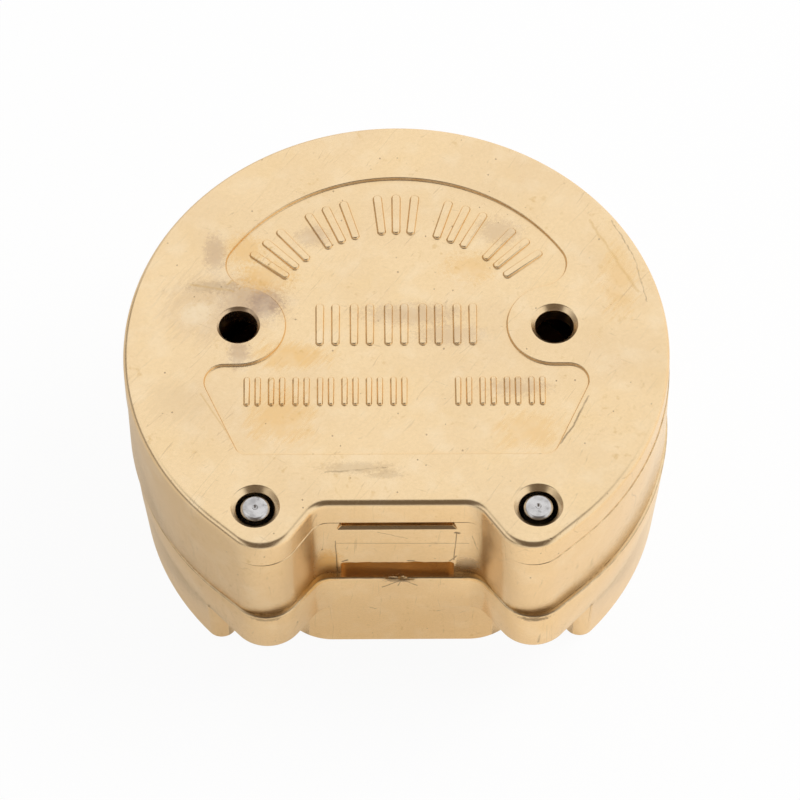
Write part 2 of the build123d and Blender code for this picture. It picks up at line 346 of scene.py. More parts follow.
def finished(
    name: str,
    mesh: MeshData,
    edge_radius: float,
    edge_angle: float,
    crisp: tuple[float, float] = (0.0, 0.0),
    nicks: Sequence[Nick] = (),
) -> bpy.types.Object:
    """Put a solid into the row frame, and break its sharp edges.

    Args:
        name: The name of the piece.
        mesh: The solid in millimetres.
        edge_radius: How far the sharp edges are worn round, in millimetres.
        edge_angle: Edges that turn by more than this, in degrees, are worn.
        crisp: The lowest and highest level of a band whose edges stay as they are.
        nicks: The dents, whose edges stay jagged.

    Returns:
        The finished object.
    """
    worn_layer = mesh.edges.layers.float.new("bevel_weight_edge")
    for edge in mesh.edges:
        if not edge.is_manifold:
            continue
        middle = (edge.verts[0].co + edge.verts[1].co) / 2
        turn = edge.calc_face_angle(0.0)
        if any(nick.holds(middle) for nick in nicks):
            edge.smooth = turn < math.radians(10)
        elif turn < math.radians(edge_angle):
            continue
        elif crisp[0] < middle.z < crisp[1]:
            edge.smooth = False
        else:
            edge[worn_layer] = 1.0
    bmesh.ops.translate(mesh, verts=mesh.verts, vec=(0, CENTRE_Y, 0))
    bmesh.ops.scale(mesh, verts=mesh.verts, vec=(MM, MM, MM))
    for face in mesh.faces:
        face.smooth = True
    thing = as_object(name, mesh)
    worn = thing.modifiers.new("worn edges", "BEVEL")
    worn.width = edge_radius * MM
    worn.segments = 2
    worn.limit_method = "WEIGHT"
    worn.use_clamp_overlap = False
    worn.harden_normals = True
    worn.miter_outer = "MITER_ARC"
    return thing


# Plans


@dataclass(frozen=True)
class FlaskPlan:
    """The plan lines that the two castings, the lid and the ejector plate share."""

    back_radius: float = 50.0
    ear: Point = (24.4, -35.795)
    ear_radius: float = 7.05
    notch_wall_y: float = -33.895
    notch_half_width: float = 14.4
    notch_corner_radius: float = 3.9
    pin: Point = (25.4, -34.095)
    scallop_radius: float = 5.8
    front_corner_radius: float = 10.5
    lobe_radius: float = 2.8
    side_wall: float = 5.2
    notch_wall: float = 4.9
    pin_boss_radius: float = 8.8
    cavity_inner_corner: float = 3.0
    cavity_outer_corner: float = 6.0
    ejector: Point = (29.0, 5.0)
    panel_top_radius: float = 36.5
    panel_top_y: float = 37.8
    panel_tip_radius: float = 5.0
    panel_waist_radius: float = 8.8
    panel_shoulder_half_width: float = 36.8
    panel_foot_half_width: float = 28.4
    panel_foot_y: float = -22.895
    panel_shoulder_radius: float = 3.5
    panel_foot_radius: float = 2.2
    back_steps: int = 72
    small_steps: int = 16

    def casting(self, wall_proud: float = 0.0, draft: float = 0.0) -> Plan:
        """The plan of a casting at its ears.

        Args:
            wall_proud: How far the notch wall stands out in front of the lower half's.
            draft: How much smaller the round back is.

        Returns:
            A function that draws the plan.
        """
        radius = self.back_radius - draft
        wall_y = self.notch_wall_y - wall_proud
        ear_x, ear_y = self.ear
        flank = math.atan2(ear_y, ear_x) + math.acos((radius - self.ear_radius) / math.hypot(ear_x, ear_y))
        across, along = self.notch_half_width - ear_x, wall_y - ear_y
        inside = math.atan2(along, across) + math.acos(self.ear_radius / math.hypot(across, along)) - math.tau

        def draw(mesh: MeshData, height: float) -> Pen:
            """Draw the back, the flank, the ear and the notch wall."""
            pen = Pen(mesh, height, (0, radius))
            pen.arc((0, 0), flank - math.pi / 2, self.back_steps)
            pen.line((ear_x + self.ear_radius * math.cos(flank), ear_y + self.ear_radius * math.sin(flank)))
            pen.arc(self.ear, inside - flank, 2 * self.small_steps)
            notch_corner = (self.notch_half_width, wall_y)
            pen.corner(notch_corner, (0, wall_y), self.notch_corner_radius, self.small_steps)
            pen.line((0, wall_y))
            return pen

        return draw

    def body(self, wall_proud: float, draft: float) -> Plan:
        """The plan of the upper half below its ears.

        Args:
            wall_proud: How far the notch wall stands out in front of the lower half's.
            draft: How much smaller the round back is.

        Returns:
            A function that draws the plan.
        """
        radius = self.back_radius - draft
        wall_y = self.notch_wall_y - wall_proud
        pin_x, pin_y = self.pin
        corner_y = wall_y + self.front_corner_radius
        spacing = self.front_corner_radius + self.scallop_radius
        corner_x = pin_x - math.sqrt(spacing**2 - (corner_y - pin_y) ** 2)
        corner_turn = math.atan2(pin_y - corner_y, pin_x - corner_x)
        lobe_reach = radius - self.lobe_radius
        pin_reach = math.hypot(pin_x, pin_y)
        spread = lobe_reach**2 + pin_reach**2 - (self.scallop_radius + self.lobe_radius) ** 2
        lobe_turn = math.atan2(pin_y, pin_x) + math.acos(spread / (2 * lobe_reach * pin_reach))
        lobe = (lobe_reach * math.cos(lobe_turn), lobe_reach * math.sin(lobe_turn))
        lobe_side = math.atan2(lobe[1] - pin_y, lobe[0] - pin_x)

        def draw(mesh: MeshData, height: float) -> Pen:
            """Draw the back, the lobe, the scallop, the front corner and the front."""
            pen = Pen(mesh, height, (0, radius))
            pen.arc((0, 0), lobe_turn - math.pi / 2, self.back_steps)
            pen.arc(lobe, lobe_side - math.pi - lobe_turn, self.small_steps)
            pen.arc(self.pin, math.pi + corner_turn - lobe_side, self.small_steps)
            pen.arc((corner_x, corner_y), -math.pi / 2 - corner_turn, self.small_steps)
            pen.line((0, wall_y))
            return pen

        return draw

    def cavity(self, grow: float = 0.0) -> Plan:
        """The plan of the mould cavity.

        Args:
            grow: How far the plan is widened all round.

        Returns:
            A function that draws the plan.
        """
        radius = self.back_radius - self.side_wall + grow
        boss_radius = self.pin_boss_radius - grow
        outer, inner = self.cavity_outer_corner + grow, self.cavity_inner_corner + grow
        front_y = self.notch_wall_y + self.notch_wall - grow
        pin_x, pin_y = self.pin
        boss_y = pin_y + boss_radius
        outer_centre = (math.sqrt((radius - outer) ** 2 - (boss_y + outer) ** 2), boss_y + outer)
        back_end = math.atan2(outer_centre[1], outer_centre[0])
        reach = boss_radius + inner
        inner_centre = (pin_x - math.sqrt(reach**2 - (front_y + inner - pin_y) ** 2), front_y + inner)
        boss_end = math.atan2(inner_centre[1] - pin_y, inner_centre[0] - pin_x)

        def draw(mesh: MeshData, height: float) -> Pen:
            """Draw the back, the outer corner, the pin boss, the inner corner and the front."""
            pen = Pen(mesh, height, (0, radius))
            pen.arc((0, 0), back_end - math.pi / 2, self.back_steps)
            pen.arc(outer_centre, -math.pi / 2 - back_end, self.small_steps)
            pen.line((pin_x, boss_y))
            pen.arc(self.pin, boss_end - math.pi / 2, self.small_steps)
            pen.arc(inner_centre, math.pi / 2 - boss_end, self.small_steps)
            pen.line((0, front_y))
            return pen

        return draw

    def panel(self, grow: float = 0.0) -> Plan:
        """The plan of the sunk panel on the face.

        Args:
            grow: How far the plan is widened all round.

        Returns:
            A function that draws the plan.
        """
        hole_x, hole_y = self.ejector
        arch_y = self.panel_top_y - self.panel_top_radius
        top_radius, tip_radius = self.panel_top_radius + grow, self.panel_tip_radius + grow
        waist_radius = self.panel_waist_radius - grow
        reach = top_radius - tip_radius
        across = math.hypot(hole_x, hole_y - arch_y)
        spread = reach**2 + across**2 - (waist_radius + tip_radius) ** 2
        tip_turn = math.atan2(hole_y - arch_y, hole_x) + math.acos(spread / (2 * reach * across))
        tip = (reach * math.cos(tip_turn), arch_y + reach * math.sin(tip_turn))
        waist_turn = math.atan2(tip[1] - hole_y, tip[0] - hole_x)
        lower_y = hole_y - waist_radius
        foot_y = self.panel_foot_y - grow
        side = math.atan2(
            self.panel_shoulder_half_width - self.panel_foot_half_width,
            hole_y - self.panel_waist_radius - self.panel_foot_y,
        )
        widening = grow / math.cos(side)
        shoulder = (self.panel_shoulder_half_width + widening + grow * math.tan(side), lower_y)
        foot = (self.panel_foot_half_width + widening - grow * math.tan(side), foot_y)

        def draw(mesh: MeshData, height: float) -> Pen:
            """Draw the arch, the tip, the waist, the shoulder and the foot."""
            pen = Pen(mesh, height, (0, arch_y + top_radius))
            pen.arc((0, arch_y), tip_turn - math.pi / 2, self.back_steps)
            pen.arc(tip, waist_turn - math.pi - tip_turn, self.small_steps)
            pen.arc(self.ejector, 3 * math.pi / 2 - waist_turn, 2 * self.small_steps)
            pen.corner(shoulder, foot, self.panel_shoulder_radius + grow, self.small_steps)
            pen.corner(foot, (0, foot_y), self.panel_foot_radius + grow, self.small_steps)
            pen.line((0, foot_y))
            return pen

        return draw


# Pieces


@dataclass
class LowerHalf:
    """The cup that lies on top, mouth down, with its panelled outer face up."""

    plan: FlaskPlan
    joint_z: float = 22.5
    face_z: float = 46.0
    parting_depth: float = 6.2
    parting_mismatch: float = 0.18
    parting_groove: float = 0.14
    face_thickness: float = 4.0
    face_edge_radius: float = 1.3
    joint_edge_radius: float = 0.25
    cavity_floor_radius: float = 2.0
    panel_depth: float = 0.55
    panel_draft: float = 0.22
    ejector_radius: float = 3.5
    ejector_chamfers: Point = (0.55, 0.9)
    bore_radius: float = 3.5
    bore_chamfer: float = 1.0
    slit_half_length: float = 11.0
    slit_top_depth: float = 6.05
    slit_height: float = 2.6
    slit_back_height: float = 2.12
    slit_lip_depth: float = 0.68
    slit_end_slant: float = 0.9
    slit_top_inset: float = 0.7
    slit_depth: float = 2.4
    window_half_width: float = 10.3
    window_height: float = 3.5
    window_depth: float = 3.0
    window_corner_radius: float = 0.8
    window_swell: float = 0.28
    window_ripple: float = 0.14
    rib_height: float = 0.45
    rib_draft: float = 0.12

    def build(self) -> bpy.types.Object:
        """Make the casting.

        Returns:
            The finished object.
        """
        solid = combine(self.skirt(), [self.crown()], Cut.ONTO)
        cutters = [self.mould_cavity(), self.panel(), self.slit(), self.window(), *self.holes()]
        solid = combine(solid, cutters, Cut.AWAY)
        solid = combine(solid, [self.ribs()], Cut.ONTO)
        parting_z = self.face_z - self.parting_depth
        band = (parting_z - 2 * self.parting_groove, parting_z + 2 * self.parting_groove)
        return finished("lower_casting", solid, CAST_EDGE_RADIUS, CAST_EDGE_ANGLE, crisp=band)

    def skirt(self) -> MeshData:
        """The part between the joint and the cast parting line."""
        shift = (self.parting_mismatch, 0.0)
        top_z = self.face_z - self.parting_depth + self.parting_groove / 3
        casting = self.plan.casting()
        mesh = loft([Section(casting, self.joint_z, shift), Section(casting, top_z, shift)])
        soften_level(mesh, top_z, self.parting_groove, 1)
        soften_level(mesh, self.joint_z, self.joint_edge_radius, 3)
        return mesh

    def crown(self) -> MeshData:
        """The part above the parting line, with its rounded face edge."""
        foot_z = self.face_z - self.parting_depth - self.parting_groove / 3
        mesh = loft([Section(self.plan.casting(), foot_z), Section(self.plan.casting(), self.face_z)])
        soften_level(mesh, foot_z, self.parting_groove, 1)
        soften_level(mesh, self.face_z, self.face_edge_radius, 8)
        return mesh

    def mould_cavity(self) -> MeshData:
        """The hollow under the face, open at the joint."""
        floor_z = self.face_z - self.face_thickness
        cavity = self.plan.cavity()
        mesh = loft([Section(cavity, self.joint_z - CUTTER_MARGIN), Section(cavity, floor_z)])
        soften_level(mesh, floor_z, self.cavity_floor_radius, 6)
        return mesh

    def panel(self) -> MeshData:
        """The shallow sunk panel, with drafted walls."""
        floor_z = self.face_z - self.panel_depth
        return loft(
            [
                Section(self.plan.panel(), floor_z),
                Section(self.plan.panel(self.panel_draft), self.face_z),
                Section(self.plan.panel(self.panel_draft), self.face_z + CUTTER_MARGIN),
            ]
        )

    def bore(self, centre: Point, radius: float, chamfer: float, foot_z: float) -> MeshData:
        """A round hole through the face with a chamfered mouth.

        Args:
            centre: Its place in plan.
            radius: Its radius.
            chamfer: The width of the chamfer.
            foot_z: The level that it is open at below.

        Returns:
            The cutter.
        """
        rise = chamfer + CUTTER_MARGIN
        top_z = self.face_z + CUTTER_MARGIN
        straight_z = self.face_z - chamfer
        profile = [(0, foot_z), (radius, foot_z), (radius, straight_z), (radius + rise, top_z), (0, top_z)]
        return turned(profile, centre, 72)

    def holes(self) -> list[MeshData]:
        """The two ejector holes and the two bores of the guide pins."""
        (hole_x, hole_y), (pin_x, pin_y) = self.plan.ejector, self.plan.pin
        under_face = self.face_z - self.face_thickness - CUTTER_MARGIN
        under_joint = self.joint_z - CUTTER_MARGIN
        left, right = self.ejector_chamfers
        return [
            self.bore((-hole_x, hole_y), self.ejector_radius, left, under_face),
            self.bore((hole_x, hole_y), self.ejector_radius, right, under_face),
            self.bore((-pin_x, pin_y), self.bore_radius, self.bore_chamfer, under_joint),
            self.bore((pin_x, pin_y), self.bore_radius, self.bore_chamfer, under_joint),
        ]

    def slit(self) -> MeshData:
        """The slit high in the notch wall: slanted ends, a wide sloping lip below, and a slot behind."""
        wall_y = self.plan.notch_wall_y
        top_z = self.face_z - self.slit_top_depth
        foot_z, lip_z = top_z - self.slit_height, top_z - self.slit_back_height
        mouth_foot = self.slit_half_length
        mouth_top = mouth_foot - self.slit_top_inset
        behind = mouth_foot - self.slit_end_slant
        rings = (
            (wall_y - CUTTER_MARGIN, mouth_top, mouth_foot, foot_z),
            (wall_y, mouth_top, mouth_foot, foot_z),
            (wall_y + self.slit_lip_depth, behind, behind, lip_z),
            (wall_y + self.slit_depth, behind, behind, lip_z),
        )
        mesh = bmesh.new()
        loops = []
        for ring_y, top_x, foot_x, low_z in rings:
            corners = ((-top_x, top_z), (top_x, top_z), (foot_x, low_z), (-foot_x, low_z))
            loops.append([mesh.verts.new((x, ring_y, z)) for x, z in corners])
        mesh.faces.new(loops[0])
        mesh.faces.new(loops[-1])
        for near, far in pairwise(loops):
            for side in range(4):
                other = (side + 1) % 4
                mesh.faces.new((near[side], near[other], far[other], far[side]))
        bmesh.ops.recalc_face_normals(mesh, faces=mesh.faces)
        return mesh

    def window(self) -> MeshData:
        """The pry window at the joint, with a ragged cast edge on top."""
        wall_y = self.plan.notch_wall_y
        top_z = self.joint_z + self.window_height
        mesh = block(
            Vector((-self.window_half_width, wall_y - CUTTER_MARGIN, self.joint_z - CUTTER_MARGIN)),
            Vector((self.window_half_width, wall_y + self.window_depth, top_z)),
        )
        highest = top_z - LEVEL_TOLERANCE
        upper = [edge for edge in mesh.edges if all(vert.co.z > highest for vert in edge.verts)]
        corners = [edge for edge in upper if abs(edge.verts[0].co.x - edge.verts[1].co.x) < LEVEL_TOLERANCE]
        bmesh.ops.bevel(
            mesh,
            geom=corners,
            offset=self.window_corner_radius,
            offset_type="OFFSET",
            segments=5,
            profile=0.5,
            affect="EDGES",
            material=-1,
        )
        long_edges = [edge for edge in mesh.edges if edge.calc_length() > self.window_half_width]
        top_edges = [edge for edge in long_edges if edge.verts[0].co.z > highest]
        bmesh.ops.subdivide_edges(mesh, edges=top_edges, cuts=48, use_grid_fill=True)
        for vert in mesh.verts:
            if vert.co.z > highest:
                swell = noise.noise(Vector((vert.co.x * 0.45, 0.0, 4.0)))
                ripple = noise.noise(Vector((vert.co.x * 1.7, 0.0, 9.0)))
                vert.co.z += self.window_swell * swell + self.window_ripple * ripple
        return mesh

    def ribs(self) -> MeshData:
        """All the plain raised ribs on the panel."""
        return RibField(self.face_z - self.panel_depth, self.rib_height, self.rib_draft).build()


@dataclass(frozen=True)
class RibRow:
    """One row of groups of equal ribs."""

    groups: int
    group_pitch: float
    ribs: int
    rib_pitch: float
    length: float
    width: float

    def places(self) -> list[float]:
        """The places of the ribs along the row, centred on zero."""
        return [
            (group - (self.groups - 1) / 2) * self.group_pitch + (rib - (self.ribs - 1) / 2) * self.rib_pitch
            for group in range(self.groups)
            for rib in range(self.ribs)
        ]


@dataclass(frozen=True)
class RibField:
    """The raised ribs that stand on the sunk panel."""

    floor_z: float
    height: float
    draft: float
    sunk: float = 0.3
    arc_radius: float = 29.9
    arc: RibRow = RibRow(groups=5, group_pitch=11.898, ribs=3, rib_pitch=3.1, length=9.0, width=1.7)
    middle: RibRow = RibRow(groups=5, group_pitch=6.3, ribs=2, rib_pitch=2.9, length=9.2, width=1.6)
    middle_y: float = 5.3
    low_left: RibRow = RibRow(groups=7, group_pitch=4.45, ribs=2, rib_pitch=2.0, length=6.2, width=1.15)
    low_right: RibRow = RibRow(groups=4, group_pitch=4.45, ribs=2, rib_pitch=2.0, length=6.2, width=1.15)
    low_y: float = -9.3
    low_left_x: float = -12.9
    low_right_x: float = 18.9

    def build(self) -> MeshData:
        """Place a rib at each of its places.

        Returns:
            One mesh with all the ribs.
        """
        mesh = bmesh.new()
        for place in self.arc.places():
            self.add_rib(mesh, self.arc, (0, self.arc_radius), -place / self.arc_radius)
        for place in self.middle.places():
            self.add_rib(mesh, self.middle, (place, self.middle_y), 0.0)
        for row, row_x in ((self.low_left, self.low_left_x), (self.low_right, self.low_right_x)):
            for place in row.places():
                self.add_rib(mesh, row, (row_x + place, self.low_y), 0.0)
        bmesh.ops.recalc_face_normals(mesh, faces=mesh.faces)
        return mesh

    def add_rib(self, mesh: MeshData, row: RibRow, place: Point, turn: float) -> None:
        """Add one rib with round ends and drafted, softened flanks.

        Args:
            mesh: The mesh to add it to.
            row: The row that gives its size.
            place: The middle of the rib in plan.
            turn: How far the finished rib is turned around the middle of the plan, in radians.
        """
        made = bmesh.ops.create_circle(mesh, cap_ends=True, radius=row.width / 2, segments=16)["verts"]
        for vert in made:
            vert.co.y += math.copysign((row.length - row.width) / 2, vert.co.y + LEVEL_TOLERANCE)
        bmesh.ops.translate(mesh, verts=made, vec=(0, 0, self.floor_z - self.sunk))
        cap = made[0].link_faces[0]
        walls = bmesh.ops.extrude_face_region(mesh, geom=[cap])["geom"]
        raised = [part for part in walls if isinstance(part, bmesh.types.BMVert)]
        bmesh.ops.translate(mesh, verts=raised, vec=(0, 0, self.sunk))
        top = [part for part in walls if isinstance(part, bmesh.types.BMFace)]
        soft = self.height * 0.3
        bmesh.ops.inset_region(mesh, faces=top, thickness=self.draft, depth=0, use_even_offset=True)
        raised = list({vert for face in top for vert in face.verts})
        bmesh.ops.translate(mesh, verts=raised, vec=(0, 0, self.height - soft))
        bmesh.ops.inset_region(mesh, faces=top, thickness=soft * 0.8, depth=0, use_even_offset=True)
        raised = list({vert for face in top for vert in face.verts})
        bmesh.ops.translate(mesh, verts=raised, vec=(0, 0, soft))
        whole = self.island(made)
        bmesh.ops.translate(mesh, verts=whole, vec=(*place, 0))
        bmesh.ops.rotate(mesh, verts=whole, cent=(0, 0, 0), matrix=Matrix.Rotation(turn, 3, "Z"))

    @staticmethod
    def island(seed: Sequence[bmesh.types.BMVert]) -> list[bmesh.types.BMVert]:
        """All the vertices that hang together with the given ones."""
        found, rim = set(seed), list(seed)
        while rim:
            vert = rim.pop()
            fresh = {edge.other_vert(vert) for edge in vert.link_edges} - found
            found |= fresh
            rim.extend(fresh)
        return list(found)


@dataclass
class UpperHalf:
    """The ring that stands at the bottom: two short ears above a scalloped body, open right through."""

    plan: FlaskPlan
    joint_z: float = 22.5
    ear_thickness: float = 10.3
    shift: Point = (0.5, -0.7)
    wall_proud: float = 0.6
    draft_ears: float = 0.7
    draft_body: float = 0.9
    rim_edge_radius: float = 0.35
    foot_edge_chamfer: float = 0.4
    ear_overlap: float = 0.4
    bore_radius: float = 3.5
    lid_thickness: float = 4.0
    lid_seat: float = 1.5

    def build(self) -> bpy.types.Object:
        """Make the casting.

        Returns:
            The finished object.
        """
        solid = combine(self.body(), [self.ears()], Cut.ONTO)
        solid = combine(solid, [self.mould_cavity(), self.lid_rebate(), *self.pin_bores()], Cut.AWAY)
        nicks = self.nicks()
        solid = combine(solid, [nick.build() for nick in nicks], Cut.AWAY)
        return finished("upper_casting", solid, CAST_EDGE_RADIUS, CAST_EDGE_ANGLE, nicks=nicks)

    def body(self) -> MeshData:
        """The scalloped body below the ears."""
        ear_foot = self.joint_z - self.ear_thickness
        chamfer = self.foot_edge_chamfer
        foot = self.plan.body(self.wall_proud - chamfer, self.draft_foot + chamfer)
        return loft(
            [
                Section(foot, 0.0, self.shift),
                Section(self.plan.body(self.wall_proud, self.draft_foot), chamfer, self.shift),
                Section(
                    self.plan.body(self.wall_proud, self.draft_ears),
                    ear_foot + self.ear_overlap,
                    self.shift,
                ),
            ]
        )

    @property
    def draft_foot(self) -> float:
        """How much smaller the round back is at the foot than at the joint."""
        return self.draft_ears + self.draft_body

    def ears(self) -> MeshData:
        """The band at the joint that carries the two ears."""
        ear_foot = self.joint_z - self.ear_thickness
        mesh = loft(
            [
                Section(self.plan.casting(self.wall_proud, self.draft_ears), ear_foot, self.shift),
                Section(self.plan.casting(self.wall_proud), self.joint_z, self.shift),
            ]
        )
        soften_level(mesh, self.joint_z, self.rim_edge_radius, 4)
        soften_level(mesh, ear_foot, self.rim_edge_radius, 3)
        return mesh

    def mould_cavity(self) -> MeshData:
        """The opening through the ring."""
        cavity = self.plan.cavity()
        return loft(
            [
                Section(cavity, -CUTTER_MARGIN, self.shift),
                Section(cavity, self.joint_z + CUTTER_MARGIN, self.shift),
            ]
        )

    def lid_rebate(self) -> MeshData:
        """The wider seat of the lid at the foot."""
        seat = self.plan.cavity(self.lid_seat)
        foot_z = -2 * CUTTER_MARGIN
        return loft([Section(seat, foot_z, self.shift), Section(seat, self.lid_thickness, self.shift)])

    def nicks(self) -> list[Nick]:
        """The chips along the front rim, with the star-shaped one in the middle of the notch."""
        wall_y = self.plan.notch_wall_y - self.wall_proud + self.shift[1]
        ear_x, ear_y = self.plan.ear
        reach = self.plan.ear_radius + self.wall_proud
        chips = [
            Nick((0.9, wall_y, self.joint_z - 0.15), (0.9, 0.5, 0.6), 0.3, 1.0),
            Nick((-0.9, wall_y, self.joint_z - 0.05), (1.5, 0.42, 0.3), 0.0, 2.0),
            Nick((2.2, wall_y, self.joint_z - 0.4), (1.0, 0.22, 0.2), 0.0, 3.0),
        ]
        angles = ((1, -118, 0.7), (1, -97, 1.1), (1, -84, 0.6), (1, -60, 0.5), (-1, -70, 0.8), (-1, -92, 0.5))
        for index, (side, angle, size) in enumerate(angles):
            turn = math.radians(angle)
            place = (
                side * ear_x + self.shift[0] + reach * math.cos(turn),
                ear_y + self.shift[1] + reach * math.sin(turn),
                self.joint_z - 0.06,
            )
            chips.append(Nick(place, (size, 0.42, 0.44), turn + math.pi / 2, 4.0 + index))
        return chips

    def pin_bores(self) -> list[MeshData]:
        """The two bores that the guide pins are pressed into."""
        pin_x, pin_y = self.plan.pin
        foot_z = self.joint_z - self.ear_thickness - CUTTER_MARGIN
        top_z = self.joint_z + CUTTER_MARGIN
        profile = [(0, foot_z), (self.bore_radius, foot_z), (self.bore_radius, top_z), (0, top_z)]
        return [turned(profile, (side * pin_x, pin_y), 72) for side in (-1, 1)]


@dataclass
class GuidePin:
    """A turned pin: pressed into its ear, a close guide above the joint, and a slimmer nose."""

    plan: FlaskPlan
    side: int
    foot_z: float = 12.2
    joint_z: float = 22.5
    end_z: float = 45.65
    press_radius: float = 3.5
    foot_chamfer: float = 0.2
    guide_radius: float = 3.45
    guide_step: float = 0.05
    guide_length: float = 11.0
    taper_length: float = 2.0
    nose_radius: float = 2.65
    end_chamfer: float = 0.45
    mark_radius: float = 0.55
    mark_depth: float = 0.6

    def build(self) -> bpy.types.Object:
        """Turn the pin.

        Returns:
            The finished object.
        """
        guide_top = self.joint_z + self.guide_length
        profile = [
            (0, self.foot_z),
            (self.press_radius - self.foot_chamfer, self.foot_z),
            (self.press_radius, self.foot_z + self.foot_chamfer),
            (self.press_radius, self.joint_z),
            (self.guide_radius, self.joint_z + self.guide_step),
            (self.guide_radius, guide_top),
            (self.nose_radius, guide_top + self.taper_length),
            (self.nose_radius, self.end_z - self.end_chamfer),
            (self.nose_radius - 0.12, self.end_z - 0.6 * self.end_chamfer),
            (self.nose_radius - self.end_chamfer, self.end_z),
            (self.mark_radius, self.end_z),
            (0, self.end_z - self.mark_depth),
        ]
        mesh = turned(profile, (self.side * self.plan.pin[0], self.plan.pin[1]), 64)
        name = "pin_left" if self.side < 0 else "pin_right"
        return finished(name, mesh, edge_radius=0.05, edge_angle=25)


# Studio


@dataclass(frozen=True)
class PhotoCamera:
    """The camera of the photograph, looking down at the face from the front."""

    elevation: float = 57.057
    azimuth: float = 0.2636
    roll: float = -0.478
    focal_pixels: float = 5007.2
    distance: float = 915.45
    across: float = 0.6666
    upward: float = -9.6868
    target: tuple[float, float, float] = (0.0, CENTRE_Y, 46.0)

    def build(self) -> None:
        """Make the camera and give it to the scene."""
        rise, turn, tilt = (math.radians(angle) for angle in (self.elevation, self.azimuth, self.roll))
        forward = Vector((-math.sin(turn) * math.cos(rise), math.cos(turn) * math.cos(rise), -math.sin(rise)))
        level_right = forward.cross(Vector((0, 0, 1))).normalized()
        level_up = level_right.cross(forward)
        right = math.cos(tilt) * level_right + math.sin(tilt) * level_up
        up = -math.sin(tilt) * level_right + math.cos(tilt) * level_up
        place = Vector(self.target) - forward * self.distance + self.across * right + self.upward * up
        data = bpy.data.cameras.new("photo_camera")
        data.sensor_width = SENSOR_WIDTH
        data.lens = self.focal_pixels / PHOTO_SIDE * SENSOR_WIDTH
        data.clip_start = 0.01
        camera = bpy.data.objects.new("photo_camera", data)
        turned_axes = Matrix((right, up, -forward)).transposed().to_4x4()
        camera.matrix_world = Matrix.Translation(place * MM) @ turned_axes
        bpy.context.scene.collection.objects.link(camera)
        bpy.context.scene.camera = camera


class NodeBench:
    """Places nodes in one tree and joins them."""

    def __init__(self, tree: bpy.types.NodeTree) -> None:
        """Work on a node tree."""
        self.tree = tree

    def add(self, kind: str, inputs: dict | None = None, **settings: object) -> bpy.types.Node:
        """Add a node.

        Args:
            kind: The node's type.
            inputs: A value, or an output socket to join, for each input by name or number.
            settings: The node's own settings.

        Returns:
            The node.
        """
        node = self.tree.nodes.new(kind)
        for name, value in settings.items():
            setattr(node, name, value)
        for key, value in (inputs or {}).items():
            socket = node.inputs[key]
            if isinstance(value, bpy.types.NodeSocket):
                self.tree.links.new(value, socket)
            else:
                socket.default_value = value
        return node

    def math(self, operation: str, *values: object, clamp: bool = False) -> bpy.types.NodeSocket:
        """Add a Math node and return its output."""
        node = self.add("ShaderNodeMath", dict(enumerate(values)), operation=operation, use_clamp=clamp)
        return node.outputs[0]

    def ramp(self, value: object, start: float, end: float) -> bpy.types.NodeSocket:
        """Rise smoothly from 0 at one value to 1 at another, and return the output."""
        inputs = {0: value, 1: start, 2: end, 3: 0.0, 4: 1.0}
        return self.add("ShaderNodeMapRange", inputs, interpolation_type="SMOOTHSTEP").outputs[0]

    def vector(
        self, operation: str, first: object, second: object = None, out: int = 0
    ) -> bpy.types.NodeSocket:
        """Add a Vector Math node and return one of its outputs."""
        inputs = {0: first} if second is None else {0: first, 1: second}
        return self.add("ShaderNodeVectorMath", inputs, operation=operation).outputs[out]

    def group(self, tree: bpy.types.NodeTree, **inputs: object) -> bpy.types.NodeSocket:
        """Place a node group with its own values and return its first output."""
        node = self.tree.nodes.new("ShaderNodeGroup")
        node.node_tree = tree
        for name, value in inputs.items():
            socket = node.inputs[name]
            if isinstance(value, bpy.types.NodeSocket):
                self.tree.links.new(value, socket)
            else:
                socket.default_value = value
        return node.outputs[0]

    def mix(self, factor: object, first: object, second: object) -> bpy.types.NodeSocket:
        """Mix two colours and return the output."""
        node = self.add("ShaderNodeMix", data_type="RGBA")
        for index, value in ((0, factor), (6, first), (7, second)):
            if isinstance(value, bpy.types.NodeSocket):
                self.tree.links.new(value, node.inputs[index])
            else:
                node.inputs[index].default_value = value
        return node.outputs[2]


def new_material(name: str) -> tuple[bpy.types.Material, NodeBench]:
    """Make an empty node material and a bench to build it on."""
    material = bpy.data.materials.new(name)
    material.use_nodes = True
    material.node_tree.nodes.clear()
    return material, NodeBench(material.node_tree)


def place_in_millimetres(bench: NodeBench) -> bpy.types.NodeSocket:
    """The place on a piece in millimetres, measured as the plans are."""
    metres = bench.add("ShaderNodeTexCoord").outputs["Object"]
    millimetres = bench.vector("MULTIPLY", metres, (1 / MM, 1 / MM, 1 / MM))
    return bench.vector("ADD", millimetres, (0.0, -CENTRE_Y, 0.0))


